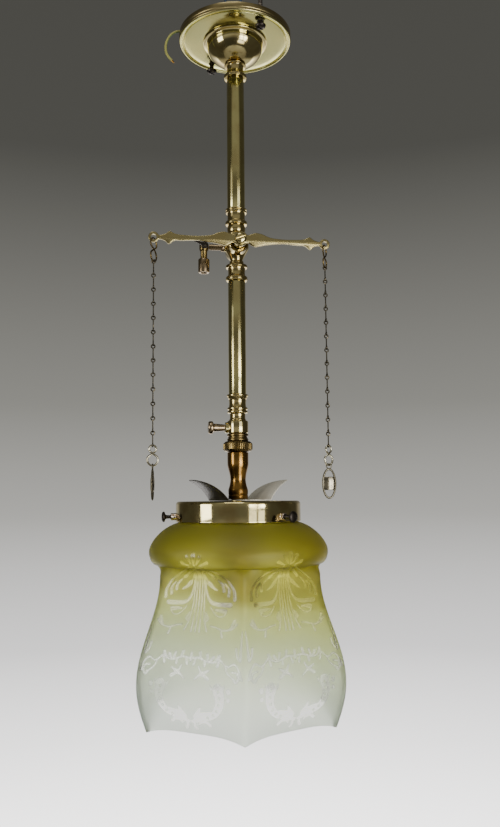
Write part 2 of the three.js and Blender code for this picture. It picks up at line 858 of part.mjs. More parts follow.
const cockFoot = cockTop - cockHeight;
const lowerSpigot = lowerTubeRadius - tubeWall - seatGap;
const lowerUnionTop = cockFoot - seatGap;
place('cock_bottom_union', turned([
  [lowerFlangeRadius, lowerFlangeRadius, lowerFlangeHeight],
  [lowerWaistRadius, lowerWaistRadius, lowerWaistHeight],
  [lowerFlangeRadius, lowerFlangeRadius, lowerRingHeight],
  [lowerSpigot, lowerSpigot, spigotLength],
], [
  [unionBore, unionBore, cockNippleRoom],
  [wireBoreRadius, wireBoreRadius],
]), brass, [0, 0, lowerUnionTop]);

const lowerUnionHeight = lowerFlangeHeight + lowerWaistHeight + lowerRingHeight;
const lowerTubeTop = lowerUnionTop - lowerUnionHeight - seatGap;
place('lower_tube', turned(
  [[lowerTubeRadius, lowerTubeRadius, lowerTubeLength]],
  [[lowerTubeRadius - tubeWall, lowerTubeRadius - tubeWall]],
), brass, [0, 0, lowerTubeTop]);

// Union above the burner

const burnerUnionTop = lowerTubeTop - lowerTubeLength - seatGap;
place('burner_union', turned([
  [lowerSpigot, lowerSpigot, spigotLength],
  [burnerFlangeRadius, burnerFlangeRadius, burnerFlangeHeight],
  [burnerWaistRadius, burnerWaistRadius, burnerWaistHeight],
  [doubleRingRadius, doubleRingRadius, doubleRingHeight],
  [burnerWaistRadius, burnerWaistRadius, doubleRingGroove],
  [doubleRingRadius, doubleRingRadius, doubleRingHeight],
  [burnerNeckRadius, burnerNeckRadius, burnerNeckHeight],
  [thinRingRadius, thinRingRadius, thinRingHeight],
  [burnerNippleRadius, burnerNippleRadius, burnerNippleLength],
], [[wireBoreRadius, wireBoreRadius]]), brass, [0, 0, burnerUnionTop + spigotLength]);

// Regulator sleeve with its thumbscrew on the left

const doubleRing = 2 * doubleRingHeight + doubleRingGroove;
const burnerCollar = burnerFlangeHeight + burnerWaistHeight + doubleRing;
const burnerUnionHeight = burnerCollar + burnerNeckHeight + thinRingHeight;
const sleeveTop = burnerUnionTop - burnerUnionHeight - seatGap;

function regulatorSleeve() {
  const throat = burnerNippleRadius + seatGap;
  const body = turned(
    [[sleeveRadius, sleeveRadius, sleeveHeight]],
    [[throat, throat, sleeveThroatHeight], [sleeveBoreRadius, sleeveBoreRadius]],
  );
  const bossStart = sleeveBoreRadius + seatGap;
  const bossLength = sleeveRadius + regulatorBossLength - bossStart;
  const boss = turnedAlong(left, [[regulatorBossRadius, regulatorBossRadius, bossLength]]);
  const hole = thumbNeedleRadius + seatGap;
  const way = turnedAlong(left, [[hole, hole, sleeveRadius + 2 * cutOverrun]], [], pinSides);
  const joined = join(body, moved(boss, -bossStart, 0, -regulatorDrop));
  return cut(joined, moved(way, -cutOverrun, 0, -regulatorDrop));
}

place('regulator_sleeve', regulatorSleeve(), brass, [0, 0, sleeveTop]);
const bossFace = sleeveRadius + regulatorBossLength;
place('regulator_screw', turnedAlong(left, [
  [thumbNeedleRadius, thumbNeedleRadius, thumbNeedleLength],
  [thumbShankRadius, thumbShankRadius, thumbShankLength],
  [thumbEdgeRadius, thumbHeadRadius, thumbHeadLength / 4],
  [thumbHeadRadius, thumbHeadRadius, thumbHeadLength / 2],
  [thumbHeadRadius, thumbEdgeRadius, thumbHeadLength / 4],
]), brass, [thumbNeedleLength - seatGap - bossFace, 0, sleeveTop - regulatorDrop]);

// Air band and the milled ring that turns below it, both round the Bunsen tube's shank

const bandTop = sleeveTop - sleeveHeight - seatGap;
const bandRib = (bandHeight - 2 * bandGroove) / 2;
place('air_band', turned([
  [bandRadius, bandRadius, bandRib],
  [bandRadius - bandGroove, bandRadius - bandGroove, 2 * bandGroove],
  [bandRadius, bandRadius, bandRib],
], [[sleeveBoreRadius, sleeveBoreRadius]]), agedBrass, [0, 0, bandTop]);

const milledTop = bandTop - bandHeight - seatGap;
place('air_ring', turned([
  [milledEdgeRadius, milledRadius, milledEdge],
  [milledRadius, milledRadius, milledHeight - 2 * milledEdge],
  [milledRadius, milledEdgeRadius, milledEdge],
], [[sleeveBoreRadius, sleeveBoreRadius]], bowlSides), agedBrass, [0, 0, milledTop]);

// Bunsen tube: a vase-shaped tube with a hidden shank above

const bunsenShoulder = milledTop - milledHeight - seatGap;
const bunsenVase = bunsenTopHeight + bunsenWaistDrop + bunsenFlareDrop + bunsenFootHeight;
const bunsenFoot = bunsenShoulder - bunsenVase;
const bunsenSocket = bunsenShoulder + bunsenShankLength - bunsenFoot - nippleSocketDepth;
place('bunsen_tube', turned([
  [bunsenShankRadius, bunsenShankRadius, bunsenShankLength],
  [bunsenTopRadius, bunsenTopRadius, bunsenTopHeight],
  [bunsenTopRadius, bunsenUpperRadius, bunsenWaistDrop / 2],
  [bunsenUpperRadius, bunsenWaistRadius, bunsenWaistDrop / 2],
  [bunsenWaistRadius, bunsenLowerRadius, bunsenFlareDrop / 2],
  [bunsenLowerRadius, bunsenFootRadius, bunsenFlareDrop / 2],
  [bunsenFootRadius, bunsenFootRadius, bunsenFootHeight],
], [
  [bunsenBore, bunsenBore, bunsenSocket],
  [stemHole, stemHole],
]), bronze, [0, 0, bunsenShoulder + bunsenShankLength]);

// Heat deflector: a round sheet whose two sides are bent up into leaves.
// A station is a line across the sheet: its place, the heading of the sheet there and its half width.

function deflectorStations() {
  const foldAngle = Math.acos(leafFold / deflectorRadius);
  const tipAngle = leafTipAngle * degree;
  const leafLength = deflectorRadius * Math.cos(tipAngle) - leafFold;
  const turn = (leafRiseAngle - leafTipRiseAngle) * degree;
  const bend = leafLength / turn;
  const start = leafRiseAngle * degree;
  const stations = [];
  for (let i = 0; i <= leafStations; i += 1) {
    const angle = foldAngle + ((tipAngle - foldAngle) * i) / leafStations;
    const along = deflectorRadius * Math.cos(angle) - leafFold;
    const heading = start - along / bend;
    stations.push({
      x: leafFold + bend * (Math.sin(start) - Math.sin(heading)),
      z: bend * (Math.cos(heading) - Math.cos(start)),
      heading: i === 0 ? start / 2 : heading,
      halfWidth: deflectorRadius * Math.sin(angle),
    });
  }
  const mirrored = [...stations].reverse().map((s) => ({ ...s, x: -s.x, heading: -s.heading }));
  const middle = { x: 0, z: 0, heading: 0, halfWidth: deflectorRadius };
  return [...mirrored, middle, ...stations];
}

function bentSheet(stations, thickness) {
  const points = [];
  const corners = [];
  for (const { x, z, heading, halfWidth } of stations) {
    const rise = [-Math.sin(heading) * thickness, Math.cos(heading) * thickness];
    points.push(x, -halfWidth, z, x, halfWidth, z);
    points.push(x + rise[0], halfWidth, z + rise[1], x + rise[0], -halfWidth, z + rise[1]);
  }
  const last = 4 * (stations.length - 1);
  for (let i = 0; i < last; i += 4) {
    for (let side = 0; side < 4; side += 1) {
      const next = (side + 1) % 4;
      corners.push(i + side, i + 4 + side, i + 4 + next, i + side, i + 4 + next, i + next);
    }
  }
  corners.push(0, 1, 2, 0, 2, 3, last + 2, last + 1, last, last + 3, last + 2, last);
  const geometry = new THREE.BufferGeometry();
  geometry.setAttribute('position', new THREE.Float32BufferAttribute(points, 3));
  geometry.setIndex(corners);
  return geometry;
}

const deflectorFoot = bunsenFoot - seatGap - deflectorThickness;
const deflectorHole = turned([[stemHole, stemHole, 2 * cutOverrun]]);
const deflector = bentSheet(deflectorStations(), deflectorThickness);
const piercedDeflector = cut(deflector, moved(deflectorHole, 0, 0, cutOverrun));
const turnedDeflector = piercedDeflector.rotateZ(deflectorTurn * degree);
place('heat_deflector', turnedDeflector, greySheet, [0, 0, deflectorFoot]);

// Gallery: a spun cup with vents under the leaves and three threaded bushes

const galleryTop = deflectorFoot - seatGap;

function galleryCup() {
  const inside = galleryRadius - galleryWall;
  const bend = galleryShoulder;
  const corner = (radius, top, size) => cornerAngles.map((angle) => [
    radius - size * (1 - Math.sin(angle * degree)),
    top - size * (1 - Math.cos(angle * degree)),
  ]);
  const outline = [
    [stemHole, 0],
    ...corner(galleryRadius, 0, bend),
    [galleryRadius, -galleryHeight],
    [inside, -galleryHeight],
    ...corner(inside, -galleryWall, bend - galleryWall).reverse(),
    [stemHole, -galleryWall],
    [stemHole, 0],
  ];
  const points = outline.map(([r, z]) => new THREE.Vector2(r, z));
  const cup = closed(new THREE.LatheGeometry(points, fineSides).rotateX(Math.PI / 2));
  const vents = [];
  for (const side of [90, -90]) {
    for (const step of [-1, 0, 1]) {
      const [x, y] = onCircle(galleryVentPitch, side + step * galleryVentSpread);
      const depth = galleryWall + 2 * cutOverrun;
      const vent = turned([[galleryVentRadius, galleryVentRadius, depth]], [], pinSides);
      vents.push(moved(vent, x, y, cutOverrun));
    }
  }
  const bushHole = bushSpigotRadius + seatGap;
  const holes = screwAngles.map((angle) => {
    const [x, y] = onCircle(1, angle);
    const outward = new THREE.Vector3(x, y, 0);
    const hole = turnedAlong(outward, [[bushHole, bushHole, 3 * cutOverrun]], [], pinSides);
    const [startX, startY] = onCircle(galleryRadius - 2 * cutOverrun, angle);
    return moved(hole, startX, startY, -screwDrop);
  });
  return cut(cup, ...vents, ...holes);
}

place('gallery', galleryCup(), brass, [0, 0, galleryTop]);

const nippleTopBelow = bunsenFoot + nippleSocketDepth - seatGap;
place('gallery_nipple', turned(
  [[nippleRadius, nippleRadius, galleryNippleLength]],
  [[galleryNippleBore, galleryNippleBore]],
), brass, [0, 0, nippleTopBelow]);
const galleryNutTop = galleryTop - galleryWall - seatGap;
const galleryNut = hexNut(down, galleryNutRadius, galleryNutHeight, stemHole);
place('gallery_nut', galleryNut, brass, [0, 0, galleryNutTop]);

// Gallery screws: each goes through a bush in the wall and ends under the glass lip

const screwHeight = galleryTop - screwDrop;
screwAngles.forEach((angle, i) => {
  const [x, y] = onCircle(1, angle);
  const outward = new THREE.Vector3(x, y, 0);
  const bushStart = galleryRadius - galleryWall - seatGap;
  const bushHole = screwRadius + seatGap;
  const bush = turnedAlong(outward, [
    [bushSpigotRadius, bushSpigotRadius, galleryWall + 2 * seatGap],
    [bushRadius, bushRadius, bushLength],
  ], [[bushHole, bushHole]], pinSides);
  const [bushX, bushY] = onCircle(bushStart, angle);
  place(`gallery_bush_${i + 1}`, bush, brass, [bushX, bushY, screwHeight]);
  const tip = neckRadius + seatGap;
  const shank = galleryRadius + screwReaches[i] - tip - screwHeadLength - screwRadius;
  const screw = turnedAlong(outward, [
    [screwTipRadius, screwRadius, screwRadius],
    [screwRadius, screwRadius, shank],
    [screwHeadRadius, screwHeadRadius, screwHeadLength],
  ], [], pinSides);
  const [tipX, tipY] = onCircle(tip, angle);
  place(`gallery_screw_${i + 1}`, screw, darkSteel, [tipX, tipY, screwHeight]);
});

// Glass shade: a round neck and shoulder over a six-sided body with an arched rim.
// A ring is one level of the outside: its height, its round radius, its corner radius,
// how far it is six-sided and how much of the rim's arch it has.

const lipFoot = -lipHeight;
const neckFoot = lipFoot - neckLength;
const shoulderLevel = neckFoot - shoulderDrop;
const creaseLevel = shoulderLevel - creaseDrop;
const waistLevel = creaseLevel - waistDrop;
const bellyLevel = waistLevel - bellyDrop;
const rimLevel = bellyLevel - rimDrop;

function shadeRings() {
  const rings = [];
  const add = (z, round, corner = round, hex = 0, arch = 0) => {
    rings.push({ z, round, corner, hex, arch });
  };
  add(0, lipRadius);
  add(lipFoot, lipRadius);
  add(lipFoot, neckRadius);
  add(neckFoot, neckRadius);
  for (let i = 1; i <= shoulderSteps; i += 1) {
    const angle = (i * Math.PI) / (2 * shoulderSteps);
    const spread = i === shoulderSteps ? 1 : Math.sin(angle) ** shoulderFullness;
    const drop = i === shoulderSteps ? 1 : 1 - Math.cos(angle) ** shoulderFullness;
    add(neckFoot - shoulderDrop * drop, neckRadius + (shoulderRadius - neckRadius) * spread);
  }
  for (let i = 1; i <= creaseSteps; i += 1) {
    const angle = (i * Math.PI) / (2 * creaseSteps);
    const radius = creaseRadius + (shoulderRadius - creaseRadius) * Math.cos(angle);
    add(shoulderLevel - creaseDrop * Math.sin(angle), radius);
  }
  add(creaseLevel - waistDrop / 2, creaseRadius, waistRadius, hexShare);
  add(waistLevel, creaseRadius, waistRadius, 1);
  for (let i = 1; i <= bellySteps; i += 1) {
    const share = i / bellySteps;
    const swell = (1 - Math.cos(Math.PI * share)) / 2;
    const corner = waistRadius + (bellyRadius - waistRadius) * swell;
    add(waistLevel - bellyDrop * share, creaseRadius, corner, 1);
  }
  for (let i = 1; i <= rimSteps; i += 1) {
    const share = i / rimSteps;
    const corner = rimRadius + (bellyRadius - rimRadius) * Math.cos((Math.PI * share) / 2);
    add(bellyLevel - rimDrop * share, creaseRadius, corner, 1, share ** 2);
  }
  return rings;
}

function shadeGlass() {
  const rings = shadeRings();
  const around = shadeSides * stepsPerPanel;
  const panel = (2 * Math.PI) / shadeSides;
  const inradius = Math.cos(panel / 2);
  const mean = ({ round, corner, hex }) => round * (1 - hex) + corner * inradius * hex;
  const points = [];
  let loops = 0;
  const addLoop = (ring, inwards, lowered) => {
    loops += 1;
    for (let k = 0; k < around; k += 1) {
      const angle = shadeTurn * degree + (k * 2 * Math.PI) / around;
      const fromMiddle = ((k * 2 * Math.PI) / around) % panel - panel / 2;
      const flat = (ring.corner * inradius) / Math.cos(fromMiddle);
      const radius = ring.round * (1 - ring.hex) + flat * ring.hex - inwards;
      const arch = rimArch * ring.arch * (1 - (fromMiddle / (panel / 2)) ** 4);
      points.push(radius * Math.sin(angle), -radius * Math.cos(angle), ring.z + arch - lowered);
    }
  };
  rings.forEach((ring) => addLoop(ring, 0, 0));
  const straight = rings.findIndex((ring) => ring.z === neckFoot);
  addLoop(rings[rings.length - 1], glassWall, 0);
  for (let i = rings.length - 2; i > straight; i -= 1) {
    const run = mean(rings[i + 1]) - mean(rings[i - 1]);
    const fall = rings[i - 1].z - rings[i + 1].z;
    const length = Math.hypot(run, fall);
    addLoop(rings[i], (glassWall * fall) / length, (glassWall * run) / length);
  }
  addLoop(rings[straight], glassWall, 0);
  addLoop({ ...rings[straight], z: 0 }, glassWall, 0);
  const corners = [];
  for (let i = 0; i < loops; i += 1) {
    for (let k = 0; k < around; k += 1) {
      const a = i * around + k;
      const b = i * around + ((k + 1) % around);
      const c = ((i + 1) % loops) * around + k;
      const d = ((i + 1) % loops) * around + ((k + 1) % around);
      corners.push(a, c, b, b, c, d);
    }
  }
  const geometry = new THREE.BufferGeometry();
  geometry.setAttribute('position', new THREE.Float32BufferAttribute(points, 3));
  geometry.setIndex(corners);
  return geometry;
}

const shadeTop = screwHeight + screwRadius + seatGap + lipHeight;
place('glass_shade', shadeGlass(), glass, [0, 0, shadeTop]);

// Lampholder on the gallery's nipple

const capTop = nippleTopBelow - galleryNippleLength + nippleGrip;
const holderInside = holderRadius - holderWall;
const capNeck = holderNeckHeight + holderWall;
place('holder_cap', turned([
  [holderNeckRadius, holderNeckRadius, holderNeckHeight],
  [holderNeckRadius, holderRadius, holderDomeHeight],
  [holderRadius, holderRadius, holderCapHeight],
], [
  [stemHole, stemHole, capNeck],
  [stemHole, holderInside, holderDomeHeight],
  [holderInside, holderInside],
]), brass, [0, 0, capTop]);

const shellTop = capTop - holderNeckHeight - holderDomeHeight - holderCapHeight - seatGap;
const shellRadius = holderRingRadius - holderRingWidth - seatGap;
const shellBore = shellRadius - holderWall;

function holderShell() {
  const shell = turned([
    [holderCollarRadius, holderCollarRadius, holderCollarHeight],
    [shellRadius, shellRadius, holderShellHeight - holderCollarHeight],
  ], [[shellBore, shellBore]]);
  const slot = new THREE.BoxGeometry(2 * holderRadius + cutOverrun, bayonetWidth, 2 * bayonetLength);
  return cut(shell, moved(slot, 0, 0, -holderShellHeight));
}

place('holder_shell', holderShell(), brass, [0, 0, shellTop]);
const ringBore = shellRadius + seatGap;
place('holder_ring', turned(
  [[holderRingRadius, holderRingRadius, holderRingHeight]],
  [[ringBore, ringBore]],
), brass, [0, 0, shellTop - holderRingDrop]);

// Insulator with two sprung contacts

const insulatorRadius = shellBore - seatGap;
const insulatorTop = shellTop - insulatorInset;
const contactPlaces = [-contactSpacing, contactSpacing];

function insulator() {
  const hole = contactRadius + seatGap;
  const depth = contactLength - contactProud + contactTravel + seatGap;
  const tools = contactPlaces.map((x) => {
    const way = turned([[hole, hole, depth + cutOverrun]], [], pinSides);
    return moved(way, x, 0, depth - insulatorHeight);
  });
  return cut(turned([[insulatorRadius, insulatorRadius, insulatorHeight]]), ...tools);
}

place('holder_insulator', insulator(), ceramic, [0, 0, insulatorTop]);
const contactTop = insulatorTop - insulatorHeight - contactProud + contactLength;
['left', 'right'].forEach((side, i) => {
  const contact = turned([
    [contactRadius, contactRadius, contactLength - contactRadius / 2],
    [contactRadius, contactRadius / 2, contactRadius / 2],
  ], [], pinSides);
  place(`contact_${side}`, contact, brass, [contactPlaces[i], 0, contactTop]);
});

// Chains: each link is a straight shank with two eyes at right angles.
// The links of one length of chain are joined where they bear on each other.

function wireLoop(radius, wire, sections, steps) {
  return new THREE.TorusGeometry(radius, wire, sections, steps).rotateZ(Math.PI / 2).rotateX(Math.PI / 2);
}

const linkLength = linkPitch + linkMesh;

function chainLink() {
  const eye = wireLoop(linkEyeRadius, linkWire, wireSections, linkSteps);
  const top = moved(eye, 0, 0, -linkEyeRadius);
  const foot = moved(eye.rotateZ(Math.PI / 2), 0, 0, linkEyeRadius - linkLength);
  const shank = linkLength - 4 * linkEyeRadius + linkWire / 2;
  const bar = new THREE.BoxGeometry(2 * linkWire, 2 * linkWire, shank);
  return join(top, foot, moved(bar, 0, 0, -linkLength / 2));
}

function chainOf(count) {
  const link = chainLink();
  const links = [];
  for (let i = 0; i < count; i += 1) links.push(moved(link, 0, 0, -i * linkPitch));
  return join(...links);
}

// Two loops of wire one above the other; the top of the upper one is at z = 0

function twoLoops(upper, lower, wire, squash, turnAngle) {
  const top = wireLoop(upper, wire, wireSections, loopSteps).translate(0, 0, -upper);
  const foot = wireLoop(lower, wire, wireSections, loopSteps).translate(0, 0, -2 * upper - lower);
  return join(top, foot).scale(squash, 1, 1).rotateZ(turnAngle * degree);
}

// A pull: an oval frame with a tablet across it and a small eye above

function pullFace(turnAngle) {
  const shape = new THREE.Shape();
  shape.absellipse(0, 0, pullHalfWidth, pullHalfHeight, 0, 2 * Math.PI);
  const width = pullHalfWidth - pullFrame;
  const height = pullHalfHeight - pullFrame;
  const upperAngle = Math.asin(tabletTop / height);
  const lowerAngle = Math.asin(tabletFoot / height);
  const gaps = [[upperAngle, Math.PI - upperAngle], [Math.PI + lowerAngle, 2 * Math.PI - lowerAngle]];
  for (const [start, end] of gaps) {
    const gap = new THREE.Path();
    gap.absellipse(0, 0, width, height, start, end);
    shape.holes.push(gap);
  }
  const flat = new THREE.ExtrudeGeometry(shape, {
    depth: pullThickness,
    bevelEnabled: false,
    curveSegments: arcSegments,
  });
  const tabletHeight = tabletTop + tabletFoot;
  const tablet = new THREE.BoxGeometry(2 * width + pullFrame / 2, tabletHeight, tabletThickness);
  const frame = join(
    moved(flat, 0, 0, -pullThickness / 2),
    moved(tablet, 0, (tabletTop - tabletFoot) / 2, 0),
  );
  const upright = frame.rotateX(Math.PI / 2);
  const eye = turnedAlong(
    back,
    [[pullEyeRadius, pullEyeRadius, pullThickness]],
    [[pullEyeHole, pullEyeHole]],
    loopSteps,
  );
  const eyeHeight = pullHalfHeight + pullEyeHole;
  const whole = join(upright, moved(eye, 0, -pullThickness / 2, eyeHeight));
  return moved(whole, 0, 0, -eyeHeight).rotateZ(turnAngle * degree);
}

['left', 'right'].forEach((side, i) => {
  const chain = new THREE.Group();
  const direction = i === 0 ? -1 : 1;
  chain.position.set(direction * leverReach, -leverOffset - leverThickness / 2, plugHeight - leverDrop);
  light.add(chain);
  const eight = twoLoops(topLinkUpper, topLinkLower, topLinkWire, 1, topLinkTurn);
  place(`top_link_${side}`, eight, brass, [0, 0, -topLinkHang], chain);
  const linkFoot = -topLinkHang - 2 * topLinkUpper - 2 * topLinkLower;
  const upperTop = linkFoot + topLinkWire + linkWire + linkPlay;
  place(`chain_upper_${side}`, chainOf(upperLinks), darkSteel, [0, 0, upperTop], chain);
  const upperFoot = upperTop - (upperLinks - 1) * linkPitch - linkLength;
  const lowerTop = upperFoot + 2 * linkWire + linkPlay;
  place(`chain_lower_${side}`, chainOf(lowerLinks), darkSteel, [0, 0, lowerTop], chain);
  const lowerFoot = lowerTop - (lowerLinks - 1) * linkPitch - linkLength;
  const hookTop = lowerFoot + linkWire + hookWire + linkPlay;
  const hook = twoLoops(hookUpper, hookLower, hookWire, loopSquashShare, hookTurns[i]);
  place(`pull_hook_${side}`, hook, nickel, [0, 0, hookTop], chain);
  const hookFoot = hookTop - 2 * hookUpper - 2 * hookLower;
  const eyeCentre = hookFoot + hookWire + linkPlay - pullEyeHole;
  place(`pull_${side}`, pullFace(pullTurns[i]), nickel, [0, 0, eyeCentre], chain);
});

// Wires: two inside the rod, and three tails above the plate

const wireTop = nippleTop - seatGap;
const wireFoot = insulatorTop + seatGap;
[['live', wireSpacing], ['neutral', -wireSpacing]].forEach(([name, y]) => {
  const wire = turned([[wireRadius, wireRadius, wireTop - wireFoot]], [], wireSides);
  place(`rod_wire_${name}`, wire, blueSheath, [0, y, wireTop]);
});

function wireAlong(route) {
  const path = new THREE.CatmullRomCurve3(route.map((point) => new THREE.Vector3(...point)));
  const section = new THREE.Shape();
  for (let k = 0; k < wireSides; k += 1) {
    const angle = (k * 2 * Math.PI) / wireSides;
    const point = [wireRadius * Math.cos(angle), wireRadius * Math.sin(angle)];
    if (k === 0) section.moveTo(...point);
    else section.lineTo(...point);
  }
  const steps = Math.round(path.getLength() / wireStep);
  return new THREE.ExtrudeGeometry(section, { steps, extrudePath: path, bevelEnabled: false });
}

place('wire_live', wireAlong(liveRoute), blueSheath);
place('wire_neutral', wireAlong(neutralRoute), blueSheath);
place('wire_earth', wireAlong(earthRoute), earthSheath);

export default light;
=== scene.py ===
# %% [markdown]
# # A gas ceiling light in Blender
#
# The light is a brass rod under a ceiling plate, with a two-chain cock, an inverted burner and a
# six-sided glass shade. Its mechanical model comes first, as a fixed frame in metres with +Z up.
# Everything made here is a finer skin for one of its nodes and rides on the same body, so that
# the lever, chains and screws still move as they do on the real light.

# %% Load the frame
import math

import bpy
from mathutils import Matrix, Vector


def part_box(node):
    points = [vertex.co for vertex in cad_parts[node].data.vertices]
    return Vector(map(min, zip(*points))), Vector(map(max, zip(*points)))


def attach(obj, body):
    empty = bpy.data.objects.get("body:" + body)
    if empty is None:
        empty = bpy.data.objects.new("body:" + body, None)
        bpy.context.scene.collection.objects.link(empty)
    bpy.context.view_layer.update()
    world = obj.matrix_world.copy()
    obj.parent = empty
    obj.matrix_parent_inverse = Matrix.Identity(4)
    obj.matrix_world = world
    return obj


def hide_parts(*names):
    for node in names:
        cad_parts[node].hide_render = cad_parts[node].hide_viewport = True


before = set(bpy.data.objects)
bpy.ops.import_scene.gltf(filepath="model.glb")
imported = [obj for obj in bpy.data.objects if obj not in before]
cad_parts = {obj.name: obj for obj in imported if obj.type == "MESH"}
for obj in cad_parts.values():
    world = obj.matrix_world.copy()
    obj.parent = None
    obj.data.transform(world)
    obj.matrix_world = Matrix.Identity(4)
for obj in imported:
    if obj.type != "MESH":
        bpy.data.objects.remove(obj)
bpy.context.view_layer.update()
MM = 0.001

# %% [markdown]
# ## Camera
#
# The photograph was taken with a short lens from a little below the cock, tipped up and turned
# slightly. Lens, place and angles were found from straight edges and circles on the light: the
# tubes give the tilt, and the ellipses of the plate and the gallery give the height. The lamp
# hung a little out of plumb, and the roll shares that out.

# %% Set up the camera
CAMERA_PLACE = (-77.16, -544.0, -347.7)
CAMERA_TURN = -9
CAMERA_PITCH = 6.276
CAMERA_ROLL = -0.51
CAMERA_LENS = 33.55
SENSOR_WIDTH = 36
NEAREST_SEEN = 0.01
bpy.ops.object.camera_add(location=[c * MM for c in CAMERA_PLACE])
camera = bpy.context.object
camera.data.sensor_width = SENSOR_WIDTH
camera.data.lens = CAMERA_LENS
camera.data.clip_start = NEAREST_SEEN
heading = Matrix.Rotation(math.radians(CAMERA_TURN), 3, "Z")
pitch = Matrix.Rotation(math.radians(90 + CAMERA_PITCH), 3, "X")
roll = Matrix.Rotation(math.radians(CAMERA_ROLL), 3, "Z")
camera.rotation_euler = (heading @ pitch @ roll).to_euler()
bpy.context.scene.camera = camera
print("camera at", tuple(round(c, 4) for c in camera.location))

# %% [markdown]
# ## Modelling by hand
#
# Each piece starts as a primitive and is shaped in edit mode. An operator acts on all that is
# selected, so these helpers first clear the selection. Sizes are given in millimetres and become
# metres here.

# %% Helpers that clear the selection and finish a piece
def select_nothing():
    if bpy.context.mode != "OBJECT":
        bpy.ops.object.mode_set(mode="OBJECT")
    bpy.ops.object.select_all(action="DESELECT")


def pick(piece):
    select_nothing()
    piece.select_set(True)
    bpy.context.view_layer.objects.active = piece


def settle(piece):
    """Put a piece's place, turn and scale into its mesh."""
    pick(piece)
    bpy.ops.object.transform_apply(location=True, rotation=True, scale=True)


def apply(piece, kind, **settings):
    """Add one modifier with its settings and apply it."""
    pick(piece)
    modifier = piece.modifiers.new(kind.title(), kind)
    for name, value in settings.items():
        setattr(modifier, name, value)
    bpy.ops.object.modifier_apply(modifier=modifier.name)


def soften_edges(piece, width, segments=2, angle=30):
    apply(
        piece, "BEVEL", width=width * MM, segments=segments,
        limit_method="ANGLE", angle_limit=math.radians(angle),
    )


def shade(piece, angle=32):
    pick(piece)
    bpy.ops.object.shade_smooth_by_angle(angle=math.radians(angle))


# %% [markdown]
# ## Supply wires
#
# Three single wires come out above the plate: two dark blue ones straight up from the rod's
# nipple, and the yellow and green earth, which bends over the plate's rim. Each is a curve with
# a round section, laid along the same points as the solid it stands for. A curve's section is
# its bevel depth times each point's radius. That radius also counts in the object's box, so it
# is set to a millimetre here, where Blender starts it at a metre.

# %% Lay the three wires
WIRE_RADIUS = 0.9
BARE_RADIUS = 0.7
BARE_LENGTH = 3.6
BARE_SHIFT = 0.6
LIVE_ROUTE = [
    (0, 1.05, 0), (0, 1.05, 1.5), (-0.8, 1.1, 4.2), (-3, 1.3, 8.2), (-5.2, 1.4, 12.8),
    (-6.4, 1.5, 18), (-6.8, 1.5, 23.6), (-6.9, 1.5, 32.6),
]
NEUTRAL_ROUTE = [
    (0, -1.05, 0), (0, -1.05, 1.5), (0.5, -1.1, 4.2), (1.9, -1.2, 8.2), (3.3, -1.3, 12.8),
    (4.1, -1.4, 18), (4.4, -1.5, 23.6), (4.5, -1.5, 32.6),
]
EARTH_ROUTE = [
    (-13.2, 0, -2.5), (-19, 0, -2.2), (-25, 0.4, -0.8), (-31.5, 0.8, 0.9), (-38.5, 1.1, 1.3),
    (-42, 1.1, 1.3), (-46.6, 1, -0.6), (-50.4, 0.5, -5.6), (-52.2, 0, -13.4), (-51, 0, -19),
    (-47.6, 0, -23),
]


def lay_points(spline, places):
    """Give a curve one soft point at each place, in mm."""
    spline.bezier_points.add(len(places) - len(spline.bezier_points))
    for point, place in zip(spline.bezier_points, places):
        point.co = Vector(place) * MM
        point.handle_left_type = "AUTO"
        point.handle_right_type = "AUTO"


def wire_along(name, route):
    """A curve through the route's points, with points added half way between them."""
    select_nothing()
    bpy.ops.curve.primitive_bezier_curve_add(location=(0, 0, 0))
    wire = bpy.context.object
    wire.name = name
    lay_points(wire.data.splines[0], route)
    bpy.ops.object.mode_set(mode="EDIT")
    bpy.ops.curve.select_all(action="SELECT")
    bpy.ops.curve.subdivide()
    bpy.ops.object.mode_set(mode="OBJECT")
    for point in wire.data.splines[0].bezier_points:
        point.radius = MM
    wire.data.bevel_depth = WIRE_RADIUS
    wire.data.bevel_resolution = 4
    wire.data.resolution_u = 6
    wire.data.use_fill_caps = True
    length = wire.data.splines[0].calc_length()
    print(name, "is", round(length / MM, 1), "mm long")
    return wire


wire_live = wire_along("live_tail", LIVE_ROUTE)
wire_neutral = wire_along("neutral_tail", NEUTRAL_ROUTE)
wire_earth = wire_along("earth_tail", EARTH_ROUTE)
end, before = Vector(EARTH_ROUTE[-1]), Vector(EARTH_ROUTE[-2])
along = (end - before).normalized()
bpy.ops.mesh.primitive_cylinder_add(
    vertices=20, radius=BARE_RADIUS * MM, depth=BARE_LENGTH * MM,
    location=(end + along * BARE_SHIFT) * MM, rotation=along.to_track_quat("Z", "Y").to_euler(),
)
earth_end = bpy.context.object
earth_end.name = "earth_bare_end"
settle(earth_end)
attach(earth_end, "frame")
# Curve, node, where it leaves the lamp, declared length in metres, and what goes with it
WIRE_ENDS = (
    (wire_live, "wire_live", LIVE_ROUTE[0], 0.0344, ()),
    (wire_neutral, "wire_neutral", NEUTRAL_ROUTE[0], 0.0335, ()),
    (wire_earth, "wire_earth", EARTH_ROUTE[0], 0.0652, (earth_end,)),
)
for wire, node, start, length, ends in WIRE_ENDS:
    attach(wire, "frame")
    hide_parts(node)

# %% [markdown]
# ## A short way to write node materials
#
# A material is a net of nodes, and its maths is easier to read as a formula. `Signal` wraps one
# socket, and adding or multiplying signals adds the Math node that does it. `Finish` is one
# material; its `node` method makes any other node from its type, settings and inputs.

